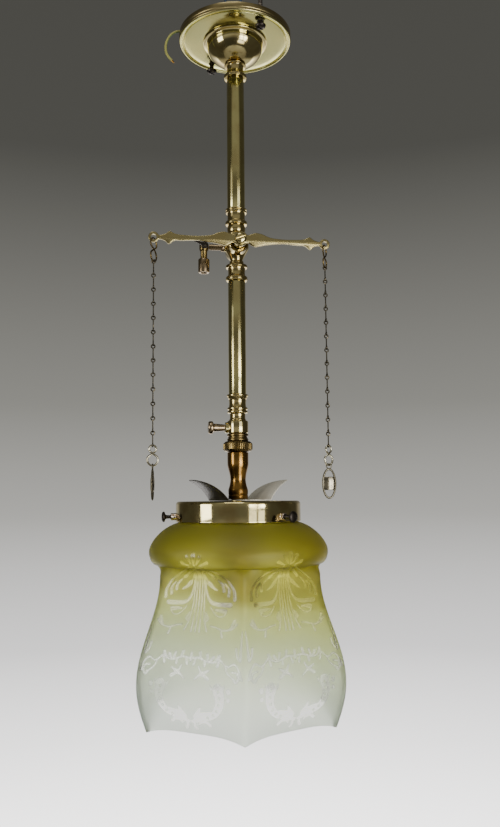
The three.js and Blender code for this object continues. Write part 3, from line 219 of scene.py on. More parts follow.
# %% Classes for signals and finishes
class Signal:
    def __init__(self, finish, socket):
        self.finish = finish
        self.socket = socket

    def maths(self, operation, first, second):
        return self.finish.maths(operation, first, second)

    def __add__(self, other):
        return self.maths("ADD", self, other)

    def __radd__(self, other):
        return self.maths("ADD", other, self)

    def __sub__(self, other):
        return self.maths("SUBTRACT", self, other)

    def __rsub__(self, other):
        return self.maths("SUBTRACT", other, self)

    def __mul__(self, other):
        return self.maths("MULTIPLY", self, other)

    def __rmul__(self, other):
        return self.maths("MULTIPLY", other, self)


def set_stops(ramp, stops):
    """Give a colour ramp its stops, as (position, colour) pairs."""
    ramp.elements.remove(ramp.elements[1])
    ramp.elements[0].position, ramp.elements[0].color = stops[0]
    for position, tone in stops[1:]:
        ramp.elements.new(position).color = tone


class Finish:
    def __init__(self, name, **constants):
        self.material = bpy.data.materials.new(name)
        self.material.use_nodes = True
        self.nodes = self.material.node_tree.nodes
        self.links = self.material.node_tree.links
        self.shader = self.nodes["Principled BSDF"]
        self.place = self.node("ShaderNodeTexCoord", output="Object")
        self.set(**constants)

    def feed(self, socket, value):
        if isinstance(value, Signal):
            self.links.new(value.socket, socket)
        else:
            socket.default_value = value

    def node(self, kind, settings=None, inputs=None, output=0):
        node = self.nodes.new(kind)
        for name, value in (settings or {}).items():
            if name == "stops":
                set_stops(node.color_ramp, value)
            else:
                setattr(node, name, value)
        for name, value in (inputs or {}).items():
            self.feed(node.inputs[name], value)
        return Signal(self, node.outputs[output])

    def set(self, **values):
        """Feed the shader's sockets, such as base_color for Base Color."""
        sockets = {i.name.lower().replace(" ", "_"): i for i in self.shader.inputs}
        for name, value in values.items():
            self.feed(sockets[name], value)
        return self

    def maths(self, operation, first, second=0.0):
        return self.node("ShaderNodeMath", {"operation": operation}, {0: first, 1: second})

    def stretched(self, scale):
        return self.node(
            "ShaderNodeMapping", {"vector_type": "POINT"}, {"Vector": self.place, "Scale": scale}
        )

    def noise(self, size, detail=3, vector=None):
        """Noise from 0 to 1 whose blotches are about size millimetres across."""
        return self.node(
            "ShaderNodeTexNoise", {}, {
                "Vector": vector or self.place, "Scale": 1 / (size * MM), "Detail": detail,
            }, "Fac",
        )

    def between(self, signal, low, high, to_low=0.0, to_high=1.0):
        """Spread the part of a signal from low to high over a new range, with soft ends."""
        return self.node(
            "ShaderNodeMapRange", {"interpolation_type": "SMOOTHSTEP"}, {
                "Value": signal, "From Min": low, "From Max": high,
                "To Min": to_low, "To Max": to_high,
            },
        )

    def blend(self, factor, under, over):
        """Mix two colours."""
        return self.node("ShaderNodeMix", {"data_type": "RGBA"}, {0: factor, 6: under, 7: over}, 2)

    def bump(self, height, depth, strength=1.0):
        return self.node(
            "ShaderNodeBump", {}, {"Height": height, "Distance": depth * MM, "Strength": strength}
        )


def colour(red, green, blue):
    return (red, green, blue, 1.0)


# %% [markdown]
# ## Metal finishes
#
# The metal is lacquered brass that has been buffed for a hundred years. It isn't one colour: a
# thin brown tarnish stays in patches and fine specks, and the lathe has left fine rings round
# it. The rings come from noise that is squeezed along the axis, so they run round the rod.

# %% Polished brass in its tones
def polished(name, clean, tarnished, gloss, rings=1.0, patches=14):
    finish = Finish(name, metallic=1.0)
    cloud = finish.between(finish.noise(patches, 4), 0.38, 0.68)
    specks = finish.between(finish.noise(1.3, 2), 0.6, 0.75)
    lines = finish.noise(0.5, 2, finish.stretched((0.03, 0.03, 1.0)))
    wear = finish.noise(5, 3)
    tone = finish.blend(cloud * 0.75, clean, tarnished)
    tone = finish.blend(specks * 0.25, tone, tarnished)
    roughness = cloud * 0.1 + specks * 0.04 + (lines - 0.5) * 0.04 * rings + gloss
    surface = finish.bump(lines * 0.1 * rings + wear * 0.6, 0.012, 0.25)
    return finish.set(base_color=tone, roughness=roughness, normal=surface)


BRASS = polished("brass_polished", colour(0.70, 0.60, 0.29), colour(0.42, 0.31, 0.12), 0.08)
ROD_BRASS = polished("brass_rod", colour(0.60, 0.54, 0.24), colour(0.46, 0.38, 0.16), 0.09, 0.5)
TURNED_BRASS = polished("brass_turned", colour(0.60, 0.49, 0.22), colour(0.35, 0.25, 0.09), 0.1)
PALE_BRASS = polished("brass_pale", colour(0.80, 0.66, 0.55), colour(0.50, 0.36, 0.26), 0.2, 0)


def paint_shade_outside(finish, radius):
    """Paint a finish dark brown beyond a distance from the axis, in mm, and make it rougher there:
    painted shade for the dark room that the plate's outer wall mirrors.
    """
    reach = finish.node(
        "ShaderNodeVectorMath", {"operation": "LENGTH"}, {0: finish.stretched((1, 1, 0))}, "Value",
    )
    rim = finish.between(reach, radius * MM, (radius + 0.4) * MM)
    tone = Signal(finish, finish.shader.inputs["Base Color"].links[0].from_socket)
    gloss = Signal(finish, finish.shader.inputs["Roughness"].links[0].from_socket)
    return finish.set(
        base_color=finish.blend(rim * 0.85, tone, colour(0.26, 0.19, 0.09)),
        roughness=gloss + rim * 0.16,
    )


# Painted shade: the plate's outer wall is painted dark brown for the dark room it mirrors.
PLATE_BRASS = paint_shade_outside(polished(
    "brass_plate", colour(0.72, 0.69, 0.30), colour(0.62, 0.55, 0.20), 0.12, 0.6, 32,
), 41.5)
LEVER_BRASS = polished("brass_lever", colour(0.46, 0.39, 0.18), colour(0.34, 0.27, 0.11), 0.17, 0)
AGED_BRASS = polished("brass_aged", colour(0.24, 0.17, 0.06), colour(0.1, 0.07, 0.03), 0.24)
BRONZE = polished("bronze_brown", colour(0.33, 0.18, 0.045), colour(0.16, 0.08, 0.018), 0.2)
BROWN_BRASS = polished("brass_brown", colour(0.36, 0.27, 0.16), colour(0.2, 0.14, 0.07), 0.22)
NICKEL = polished("nickel_wire", colour(0.60, 0.56, 0.42), colour(0.38, 0.33, 0.22), 0.13, 0)
WORN_NICKEL = polished("nickel_worn", colour(0.38, 0.34, 0.25), colour(0.20, 0.17, 0.11), 0.13, 0)
DARK_NICKEL = polished("nickel_dark", colour(0.19, 0.17, 0.12), colour(0.11, 0.095, 0.06), 0.3, 0)
print("brass finishes ready")

# %% [markdown]
# Screws and chains are blackened steel. The heat deflector is thin grey sheet with the fine
# speckle of metal that has been hot. Its left leaf is painted almost black as painted shade, and
# its right leaf pale and less metallic as painted light, for how each leaf faces the light.

# %% Steel, sheet, ceramic and sheaths
def blackened(name, dark, worn, gloss):
    finish = Finish(name, metallic=1.0)
    rubbed = finish.between(finish.noise(2.5, 4), 0.52, 0.72)
    grain = finish.noise(0.35, 2)
    tone = finish.blend(rubbed, dark, worn)
    surface = finish.bump(grain, 0.02, 0.4)
    return finish.set(base_color=tone, roughness=gloss - rubbed * 0.15, normal=surface)


DARK_STEEL = blackened("steel_black", colour(0.05, 0.042, 0.035), colour(0.2, 0.17, 0.13), 0.42)
CHAIN_STEEL = blackened("steel_chain", colour(0.07, 0.06, 0.04), colour(0.3, 0.25, 0.16), 0.36)


def hot_sheet_painted_sides():
    finish = Finish("sheet_grey")
    cloud = finish.between(finish.noise(18, 4), 0.35, 0.7)
    speckle = finish.between(finish.noise(0.7, 3), 0.45, 0.7)
    # Painted shade on the left leaf and painted light on the right: colour and metalness change
    # with x.
    along = finish.node("ShaderNodeSeparateXYZ", {}, {"Vector": finish.place}, "X")
    clean = finish.between(along + (cloud - 0.5) * 0.006, -0.012, 0.012)
    tone = finish.blend(clean, colour(0.05, 0.04, 0.022), colour(0.95, 0.90, 0.75))
    tone = finish.blend(speckle * 0.35, tone, colour(0.15, 0.14, 0.12))
    return finish.set(
        base_color=tone, metallic=0.9 - clean * 0.75, roughness=speckle * 0.12 + 0.42,
        normal=finish.bump(speckle + cloud, 0.04, 0.5),
    )


def glazed():
    finish = Finish("ceramic_glaze", coat_weight=0.4)
    craze = finish.between(finish.noise(3, 4), 0.45, 0.7)
    tone = finish.blend(craze, colour(0.80, 0.77, 0.70), colour(0.70, 0.65, 0.56))
    return finish.set(base_color=tone, roughness=craze * 0.15 + 0.2)


def sheath(name, plain, second):
    finish = Finish(name)
    dust = finish.noise(1.5, 3)
    tone = finish.blend(finish.between(dust, 0.4, 0.7), plain, second)
    return finish.set(
        base_color=tone, roughness=dust * 0.15 + 0.35, normal=finish.bump(dust, 0.03, 0.4)
    )


GREY_SHEET = hot_sheet_painted_sides()
CERAMIC = glazed()
BLUE_SHEATH = sheath("sheath_blue", colour(0.012, 0.03, 0.07), colour(0.03, 0.06, 0.11))
print("dark finishes ready")


# %% [markdown]
# The earth wire has a green stripe along its yellow sheath. A curve's UV map runs along its
# length in one direction and round it in the other, so the stripe is a band of the second.

# %% Striped earth sheath
def striped_sheath():
    finish = Finish("sheath_earth", roughness=0.42)
    around = finish.node("ShaderNodeSeparateXYZ", {}, {
        "Vector": finish.node("ShaderNodeTexCoord", output="UV"),
    }, "Y")
    stripe = finish.node("ShaderNodeMath", {"operation": "PINGPONG"}, {0: around, 1: 0.5})
    band = finish.between(stripe, 0.19, 0.23)
    tone = finish.blend(band, colour(0.36, 0.34, 0.09), colour(0.13, 0.22, 0.06))
    grime = finish.between(finish.noise(4, 3), 0.45, 0.75)
    return finish.set(base_color=finish.blend(grime * 0.5, tone, colour(0.2, 0.17, 0.06)))


EARTH_SHEATH = striped_sheath()
for wire, finish, slot in (
    (wire_live, BLUE_SHEATH, "blue_sheath"),
    (wire_neutral, BLUE_SHEATH, "blue_sheath"),
    (wire_earth, EARTH_SHEATH, "earth_sheath"),
):
    wire.data.materials.clear()
    wire.data.materials.append(finish.material)
earth_end.data.materials.append(BRONZE.material)

# %% [markdown]
# ## Turned pieces
#
# Nearly every part of the rod was made on a lathe, so one helper models them all: a circle is
# added at the first ring of the profile, and then extruded and scaled ring by ring. A bored piece
# comes back to its first ring, where the doubles are merged. A narrow bevel rounds the corners,
# because a real corner always catches a line of light. A long profile is easier to measure down
# from the top of its piece, and `below` turns those depths into heights.

# %% Helpers: turn a profile, and place, cut, weld, copy and dress a piece
def heal(gap):
    """In edit mode: merge the points that meet and turn all faces outwards."""
    bpy.ops.mesh.select_all(action="SELECT")
    bpy.ops.mesh.remove_doubles(threshold=gap * MM)
    bpy.ops.mesh.normals_make_consistent(inside=False)
    bpy.ops.object.mode_set(mode="OBJECT")


def below(top, rings):
    """Rings measured down from the top of a piece, as heights in the frame."""
    return [(radius, top - depth) for radius, depth in rings]


def turned(name, rings, sides=96, bored=False, corner=0.25, segments=2):
    """rings are (radius, height) in mm, from top to foot, and up the bore if there is one."""
    radius, height = rings[0]
    select_nothing()
    bpy.ops.mesh.primitive_circle_add(
        vertices=sides, radius=radius * MM, location=(0, 0, height * MM),
        fill_type="NOTHING" if bored else "NGON",
    )
    piece = bpy.context.object
    piece.name = name
    settle(piece)
    bpy.ops.object.mode_set(mode="EDIT")
    bpy.ops.mesh.select_all(action="SELECT")
    for next_radius, next_height in rings[1:] + ([rings[0]] if bored else []):
        step = {"value": (0, 0, (next_height - height) * MM)}
        bpy.ops.mesh.extrude_region_move(TRANSFORM_OT_translate=step)
        share = next_radius / radius
        bpy.ops.transform.resize(value=(share, share, 1))
        radius, height = next_radius, next_height
    heal(0.002)
    if corner:
        soften_edges(piece, corner, segments)
    shade(piece)
    return piece


def laid(piece, direction, place):
    """Turn a piece made along +Z so that it points in a direction, and put it at a place."""
    turn = Vector((0, 0, 1)).rotation_difference(Vector(direction))
    piece.rotation_mode = "QUATERNION"
    piece.rotation_quaternion = turn
    piece.location = Vector(place) * MM
    settle(piece)
    return piece


def cut(piece, tool):
    """Take one solid out of another and delete the tool."""
    apply(piece, "BOOLEAN", operation="DIFFERENCE", solver="EXACT", object=tool)
    bpy.data.objects.remove(tool)


def merged(piece, *others):
    """Weld solids into the first one."""
    for other in others:
        apply(piece, "BOOLEAN", operation="UNION", solver="EXACT", object=other)
        bpy.data.objects.remove(other)
    return piece


def joined(name, *pieces):
    """Join pieces into one object without welding them."""
    select_nothing()
    for piece in pieces:
        piece.select_set(True)
    bpy.context.view_layer.objects.active = pieces[0]
    bpy.ops.object.join()
    pieces[0].name = name
    return pieces[0]


def copied(piece, name, move=(0, 0, 0)):
    """A copy with a mesh of its own, moved by so many millimetres."""
    pick(piece)
    bpy.ops.object.duplicate()
    twin = bpy.context.object
    twin.name = name
    twin.location = Vector(move) * MM
    settle(twin)
    return twin


def dress(piece, node, body, finish):
    """Give a piece its finish and body, and let it stand for a node of the frame, if any."""
    piece.data.materials.clear()
    piece.data.materials.append(finish.material)
    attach(piece, body)
    if node:
        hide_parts(node)
    print(piece.name, "stands for", node, "with", len(piece.data.polygons), "faces")
    return piece


# %% [markdown]
# ## Ceiling plate and cup
#
# The plate is a shallow pan with a rounded bead round its edge and a fine groove inside the
# bead. Two holes take the wood screws. The cup under it is a spun bowl, so bright that it mirrors
# the whole room. Pieces that screw together stand a short way apart, as their threads do.

# %% Plate with its bead, groove and holes
PLATE_RADIUS = 42
WEB_FOOT = -5.4
WEB_TOP = -4.0
STEM_HOLE = 5.3
FIXING_CIRCLE = 33
FIXING_TURN = -64
FIXING_HOLE = 2.6


def arc(centre_radius, centre_height, size, start, end, steps):
    """Points of a profile on an arc. 0 degrees points outwards and 90 upwards."""
    line = []
    for i in range(steps + 1):
        angle = math.radians(start + (end - start) * i / steps)
        line.append((
            centre_radius + size * math.cos(angle), centre_height + size * math.sin(angle),
        ))
    return line


plate = turned("plate_pan", [
    (PLATE_RADIUS, 0), (PLATE_RADIUS, -3.2), (41.8, -3.5), (41.8, -3.9),
    *arc(40.75, -4.75, 1.2, 20, -190, 10),
    (39.1, -4.4), (38.4, -4.4), (38.2, -5.2), (37.9, WEB_FOOT), (34, WEB_FOOT - 0.15),
    (27, WEB_FOOT - 0.1), (STEM_HOLE, WEB_FOOT), (STEM_HOLE, WEB_TOP), (38.4, WEB_TOP),
    (39.6, -2.9), (40, 0),
], sides=160, bored=True, corner=0.18)
fixing_places = []
for angle in (FIXING_TURN, FIXING_TURN + 180):
    x = FIXING_CIRCLE * math.cos(math.radians(angle))
    y = FIXING_CIRCLE * math.sin(math.radians(angle))
    fixing_places.append((x, y))
    hole = turned("hole_tool", [(FIXING_HOLE, 2), (FIXING_HOLE, -8)], sides=32, corner=0)
    cut(plate, laid(hole, (0, 0, 1), (x, y, 0)))
shade(plate)
dress(plate, "ceiling_plate", "frame", PLATE_BRASS)

# %% Cup, a spun bowl
SEAT = 0.3
CUP_TOP = WEB_FOOT - SEAT
CUP_FOOT = CUP_TOP - 17.3
LAND_RADIUS = 6.8


def bowl(radius, top, foot, land, steps):
    """A quarter ellipse from the rim down to a flat land."""
    end = math.acos(land / radius)
    depth = (top - foot) / math.sin(end)
    return [
        (radius * math.cos(end * i / steps), top - depth * math.sin(end * i / steps))
        for i in range(steps + 1)
    ]


outer = bowl(21.4, CUP_TOP - 1.6, CUP_FOOT, LAND_RADIUS, 22)
inner = bowl(20.4, CUP_TOP - 1.6, CUP_FOOT + 1, LAND_RADIUS, 10)[::-1]
cup = turned("cup_bowl", [
    (24, CUP_TOP), (24, CUP_TOP - 0.7), (23.6, CUP_TOP - 1), (22, CUP_TOP - 1.15), *outer,
    (STEM_HOLE, CUP_FOOT), (STEM_HOLE, CUP_FOOT + 1), *inner, (20.4, CUP_TOP),
], sides=160, bored=True, corner=0.12)
dress(cup, "plate_cup", "frame", BRASS)

# %% [markdown]
# The two wood screws hang loose in their holes, one lower than the other. The thread is a spiral
# on the real screw; here it is a row of close rings, which look the same at this size.

# %% Wood screws of the plate
SCREW_LENGTH = 26
SCREW_RADIUS = 1.7
SCREW_HEAD = 2.4
SLOT_WIDTH = 1
SLOT_DEPTH = 0.9
SLOT_LENGTH = 10


def thread(radius, depth, pitch, top, foot):
    """Rings in and out, from top to foot."""
    line = []
    height = top
    while height - pitch > foot:
        line += [(radius - depth, height), (radius, height - pitch * 0.5)]
        height -= pitch
    return line


def slotted(piece, place, turn):
    """Saw a screwdriver slot into a head whose face looks down at the given place."""
    select_nothing()
    bpy.ops.mesh.primitive_cube_add(size=1, location=[c * MM for c in place])
    blade = bpy.context.object
    blade.scale = (SLOT_LENGTH * MM, SLOT_WIDTH * MM, 2 * SLOT_DEPTH * MM)
    blade.rotation_euler = (0, 0, math.radians(turn))
    settle(blade)
    cut(piece, blade)
    shade(piece)
    return piece


def wood_screw(name, head_foot):
    head_top = head_foot + SCREW_HEAD
    tip = head_top + SCREW_LENGTH
    shank_foot = head_top + 8
    rings = [(0.4, tip), (1.2, tip - 3)]
    rings += thread(SCREW_RADIUS, 0.4, 1.3, tip - 4, shank_foot)
    rings += [(SCREW_RADIUS, shank_foot), (SCREW_RADIUS, head_top), (3.9, head_top)]
    rings += [(3.9, head_top - 0.6), (3.5, head_foot + 0.9), (2.6, head_foot + 0.25)]
    rings += [(1.6, head_foot)]
    screw = turned(name, rings, sides=40, corner=0.1)
    return slotted(screw, (0, 0, head_foot), 35)


for side, (x, y), hang in (("near", fixing_places[0], 3), ("far", fixing_places[1], 5.8)):
    node = f"fixing_screw_{side}"
    screw = wood_screw(f"wood_screw_{side}", WEB_FOOT - hang - SCREW_HEAD)
    laid(screw, (0, 0, 1), (x, y, 0))
    dress(screw, node, node, DARK_STEEL)

# %% [markdown]
# ## Down rod
#
# The rod is two tubes and three unions. A union is a stack of thin sharp discs, waists and
# beads, and each of them shows as one bright dot beside the tube's highlights.

# %% Socket under the cup, and the upper tube
NIPPLE_TOP = -0.3
WIRE_BORE = 3
TUBE_RADIUS = 6.5
SOCKET_TOP = CUP_FOOT - SEAT


def disc(radius, depth, height, edge=0.35):
    """A disc of a union from a depth down, with its corners eased by a small step."""
    foot = depth + height
    return [
        (radius - edge, depth), (radius, depth + edge), (radius, foot - edge),
        (radius - edge, foot),
    ]


def waist(radius, swell, depth, height, steps=5):
    """A waist that is slightly hollow (swell below 0) or full (above 0)."""
    return [
        (radius + swell * math.sin(math.pi * i / steps), depth + height * i / steps)
        for i in range(steps + 1)
    ]


socket = turned("rod_socket_skin", below(SOCKET_TOP, [
    (5, SOCKET_TOP - NIPPLE_TOP), (5, 0), *disc(8.3, 0, 1.2, 0.3), *waist(6.4, -0.25, 1.2, 7),
    *disc(8.5, 8.2, 2.6, 0.5), (5.2, 10.8), (5.2, 18.8), (WIRE_BORE, 18.8),
    (WIRE_BORE, SOCKET_TOP - NIPPLE_TOP),
]), bored=True, corner=0.08)
dress(socket, "rod_socket", "frame", TURNED_BRASS)

UPPER_TUBE_TOP = SOCKET_TOP - 11.1
UPPER_LENGTH = 101.3
upper_tube = turned("upper_tube_skin", below(UPPER_TUBE_TOP, [
    (TUBE_RADIUS, 0), (TUBE_RADIUS, 34), (TUBE_RADIUS, 68), (TUBE_RADIUS, UPPER_LENGTH),
    (TUBE_RADIUS - 1, UPPER_LENGTH), (TUBE_RADIUS - 1, 0),
]), bored=True, corner=0.15)
dress(upper_tube, "upper_tube", "frame", ROD_BRASS)

# %% Union above the cock
UNION_TOP = UPPER_TUBE_TOP - UPPER_LENGTH - SEAT
UNION_LENGTH = 18.3
top_union = turned("cock_top_union_skin", below(UNION_TOP, [
    (5.2, -8), (5.2, 0), *disc(7.8, 0, 1.2, 0.25), (7.2, 1.4), *disc(7.7, 1.5, 1.5, 0.3),
    *waist(6.6, -0.2, 3, 6.4), *disc(8, 9.4, 2.7, 0.5), (6.1, 12.1), (6.5, 13.4), (6.7, 15.2),
    (6.5, 17), (6, UNION_LENGTH), (4.2, UNION_LENGTH), (4.2, UNION_LENGTH + 4),
    (WIRE_BORE, UNION_LENGTH + 4), (WIRE_BORE, -8),
]), bored=True, corner=0.08)
dress(top_union, "cock_top_union", "frame", TURNED_BRASS)

# %% [markdown]
# ## Cock
#
# The cock is a casting: a round head, a belly and a funnel foot, with a barrel through it from
# front to back for the taper plug. The barrel is welded to the body with a Boolean union, and
# the bores are cut after it.

# %% Cock body
COCK_TOP = UNION_TOP - UNION_LENGTH - SEAT
PLUG_HEIGHT = -165.1
cock = turned("cock_casting", below(COCK_TOP, [
    (6.7, 0), (6.9, 0.3), (6.9, 4.7), (7.4, 5.1), (8.3, 5.6), (8.9, 7), (9, 9), (9, 11), (8.7, 12),
    (7.9, 13.4), (6.6, 15.6), (5.4, 17.8), (4.6, 19.6), (4.4, 20.5), *disc(5.2, 20.5, 3, 0.7),
    (4.2, 23.5), (4.2, 27.5),
]), corner=0)
barrel = laid(turned("barrel", [
    (6.7, 24), (7, 23.7), (7, 0.3), (6.7, 0),
], corner=0), (0, 1, 0), (0, -13, PLUG_HEIGHT))
spur = turned("spur", [(3, 9), (3, 0)], sides=48, corner=0)
laid(spur, (-1, 0, 0), (0, 0, PLUG_HEIGHT))
merged(cock, barrel, spur)
for bore, top, foot in ((4.5, -2, 4.3), (WIRE_BORE, 3, 30)):
    way = turned("wire_way", below(COCK_TOP, [(bore, top), (bore, foot)]), sides=48, corner=0)
    cut(cock, way)
plug_way = turned("plug_way", [(4.5, 28), (4.9, 0)], sides=48, corner=0)
cut(cock, laid(plug_way, (0, 1, 0), (0, -15, PLUG_HEIGHT)))
soften_edges(cock, 0.25, 2, 40)
shade(cock, 38)
dress(cock, "cock_body", "frame", TURNED_BRASS)

# %% [markdown]
# ## Lever
#
# The lever is cut from sheet: two arms with a spear-shaped swelling near the hub and a smaller
# one before the eye. Its outline is drawn as points, and a circle primitive with as many corners
# gives the flat face that is extruded to the sheet's thickness. Filing it by hand rounded the
# edges, and the rounded lower edge is what catches the light.

# %% Helpers for flat pieces
def through(points, steps=4, closed=True):
    """More points on a smooth curve through the given ones."""
    count = len(points)
    line = []
    for i in range(count if closed else count - 1):
        if closed:
            a, b, c, d = (Vector(points[(i + k - 1) % count]) for k in range(4))
        else:
            a, b, c, d = (Vector(points[min(max(i + k - 1, 0), count - 1)]) for k in range(4))
        for step in range(steps):
            t = step / steps
            line.append(0.5 * (
                2 * b + (c - a) * t + (2 * a - 5 * b + 4 * c - d) * t * t
                + (3 * b - a - 3 * c + d) * t ** 3
            ))
    if not closed:
        line.append(Vector(points[-1]))
    return line


def cut_from_sheet(name, outline, thickness, corner, segments=3):
    """A flat piece with an outline in X and Z, standing in the plane y = 0."""
    select_nothing()
    bpy.ops.mesh.primitive_circle_add(vertices=len(outline), radius=1, fill_type="NGON")
    piece = bpy.context.object
    piece.name = name
    for vertex, (x, z) in zip(piece.data.vertices, outline):
        vertex.co = (x * MM, -thickness / 2 * MM, z * MM)
    bpy.ops.object.mode_set(mode="EDIT")
    bpy.ops.mesh.select_all(action="SELECT")
    step = {"value": (0, thickness * MM, 0)}
    bpy.ops.mesh.extrude_region_move(TRANSFORM_OT_translate=step)
    bpy.ops.mesh.select_all(action="SELECT")
    bpy.ops.mesh.normals_make_consistent(inside=False)
    bpy.ops.object.mode_set(mode="OBJECT")
    soften_edges(piece, corner, segments, 50)
    shade(piece, 40)
    return piece


# %% Lever
REACH = 61
EYE_DROP = 1.5
HALF_WIDTH = 5.2
EYE_RADIUS = 3.75
LEVER_MIDDLE = -21
UPPER_EDGE = [
    (0.1, 0.56), (0.135, 0.74), (0.17, 0.88), (0.2, 0.91), (0.26, 0.78), (0.35, 0.38),
    (0.5, 0.25), (0.67, 0.34), (0.76, 0.5), (0.82, 0.84), (0.86, 0.5), (0.92, 0.27),
]
LOWER_EDGE = [
    (0.1, 0.56), (0.13, 0.82), (0.16, 1), (0.19, 1), (0.24, 0.84), (0.33, 0.6),
    (0.5, 0.34), (0.67, 0.42), (0.76, 0.42), (0.825, 0.92), (0.87, 0.5), (0.92, 0.27),
]


def arm_outline(side):
    """One arm from the hub along its upper edge, round the eye and back."""
    def at(row, reach, width):
        return (side * reach * REACH, row * width * HALF_WIDTH - reach * EYE_DROP)

    upper = through([at(1, *pair) for pair in UPPER_EDGE], 3, closed=False)
    lower = through([at(-1, *pair) for pair in LOWER_EDGE], 3, closed=False)[::-1]
    eye = [
        Vector((
            side * (REACH - EYE_RADIUS * math.cos(math.radians(a))),
            EYE_RADIUS * math.sin(math.radians(a)) - EYE_DROP,
        )) for a in range(24, 337, 13)
    ]
    return upper + eye + lower


lever = cut_from_sheet(
    "lever_skin", [(0, 3), *arm_outline(1), (0, -3), *arm_outline(-1)[::-1]],
    thickness=2, corner=0.45,
)
hub = laid(turned("hub", [(5.1, 2.0), (5.4, 1.7), (5.4, 0.3), (5.1, 0)], sides=64, corner=0),
           (0, 1, 0), (0, -1, 0))
merged(lever, hub)
for side in (-1, 1):
    hole = turned("eye_hole", [(2, 3), (2, -3)], sides=40, corner=0)
    cut(lever, laid(hole, (0, 1, 0), (side * REACH, 0, -EYE_DROP)))
lever.location = (0, LEVER_MIDDLE * MM, PLUG_HEIGHT * MM)
settle(lever)
shade(lever, 40)
dress(lever, "lever", "lever", LEVER_BRASS)

# %% Lever screw with its slot
SCREW_FACE = -24.7
lever_screw = turned("lever_screw_skin", [
    (1.4, 0), (2.6, 0.2), (3.4, 0.6), (3.85, 1.1), (4, 1.6), (3.9, 2.3), (1.6, 2.4), (1.6, 8.4),
], sides=64, corner=0)
slotted(lever_screw, (0, 0, 0), -20)
laid(lever_screw, (0, 1, 0), (0, SCREW_FACE, PLUG_HEIGHT))
dress(lever_screw, "lever_screw", "lever", BRASS)

# %% [markdown]
# ## By-pass branch
#
# A thin tube leaves the cock on the left and ends in an elbow with a small tap, under which a
# thicker nozzle hangs. These pieces were never polished again, so they are brown.

# %% Branch tube, elbow, nozzle and key
BRANCH_X = -24
KEY_TURN = 25
KEY_FRONT = -4.4
ELBOW_TOP = PLUG_HEIGHT + 3.5
branch_tube = turned("branch_tube_skin", [
    (2.8, 0), (3, 0.2), (3, 2), (2.7, 2.2), (2.1, 2.2), (2.1, 11.1), (1, 11.1), (1, 0),
], sides=64, bored=True, corner=0.08)
laid(branch_tube, (-1, 0, 0), (-9.3, 0, PLUG_HEIGHT))
dress(branch_tube, "branch_tube", "frame", BROWN_BRASS)

elbow = turned("branch_elbow_skin", below(ELBOW_TOP, [
    (1.2, 0), (2.3, 0.3), (3, 0.9), (3.3, 1.8), (3.3, 5.2), (3.1, 6.2), (2.6, 7), (2.45, 7.4),
    (2.45, 15.3),
]), sides=64, corner=0)
pin_way = turned("pin_way", [(1.6, 6), (1.6, -6)], sides=32, corner=0)
cut(elbow, laid(pin_way, (0, 1, 0), (0, 0, PLUG_HEIGHT)))
soften_edges(elbow, 0.12, 2, 40)
shade(elbow)
elbow.location.x = BRANCH_X * MM
settle(elbow)
dress(elbow, "branch_elbow", "frame", AGED_BRASS)

NOZZLE_TOP = ELBOW_TOP - 12.6
nozzle = turned("branch_nozzle_skin", below(NOZZLE_TOP, [
    (3.3, 0), (3.8, 0.4), (4.1, 1), (4.1, 9.9), (3.7, 10.4), (2.4, 10.4), (1.9, 9.6), (1.9, 3),
    (2.75, 3), (2.75, 0),
]), sides=72, bored=True, corner=0.1)
nozzle.location.x = BRANCH_X * MM
settle(nozzle)
dress(nozzle, "branch_nozzle", "frame", BROWN_BRASS)

key_pin = laid(turned("key_pin", [
    (2, 0), (2.4, 0.3), (2.4, 1.6), (1.3, 1.6), (1.3, 8.8),
], sides=40, corner=0), (0, 1, 0), (0, -5.2, 0))
key_arm = cut_from_sheet("key_arm", through([
    (0, 1.1), (-5, 0.9), (-9, 1), (-10.3, 0.6), (-10.5, 0), (-10.3, -0.6), (-9, -1),
    (-5, -0.9), (0, -1.1),
], 3), thickness=1.6, corner=0.25)
key_arm.rotation_euler.y = math.radians(KEY_TURN)
key_arm.location.y = KEY_FRONT * MM
settle(key_arm)
key = merged(key_pin, key_arm)
key.name = "tap_key_skin"
key.location = (BRANCH_X * MM, 0, PLUG_HEIGHT * MM)
settle(key)
shade(key)
dress(key, "tap_key", "tap_key", DARK_STEEL)

# %% [markdown]
# ## From the cock to the burner
#
# Below the cock the rod goes on: a union, the lower tube, the union of the burner with its thin
# sharp discs, and the sleeve with the gas regulator's thumbscrew.

# %% Lower union and tube
LOWER_TOP = COCK_TOP - 23.8
LOWER_RADIUS = 6.3
lower_union = turned("cock_bottom_union_skin", below(LOWER_TOP, [
    (4.5, 0), *disc(7.9, 0, 2.2, 0.4), *waist(6.4, -0.25, 2.2, 6.1), *disc(7.9, 8.3, 3.7, 0.8),
    (5, 12), (5, 20), (WIRE_BORE, 20), (WIRE_BORE, 4.3), (4.5, 4.3),
]), bored=True, corner=0.08)
dress(lower_union, "cock_bottom_union", "frame", TURNED_BRASS)

LOWER_TUBE_TOP = LOWER_TOP - 12.3
LOWER_LENGTH = 82.8
lower_tube = turned("lower_tube_skin", below(LOWER_TUBE_TOP, [
    (LOWER_RADIUS, 0), (LOWER_RADIUS, 40), (LOWER_RADIUS, LOWER_LENGTH), (5.3, LOWER_LENGTH),
    (5.3, 0),
]), bored=True, corner=0.15)
dress(lower_tube, "lower_tube", "frame", ROD_BRASS)

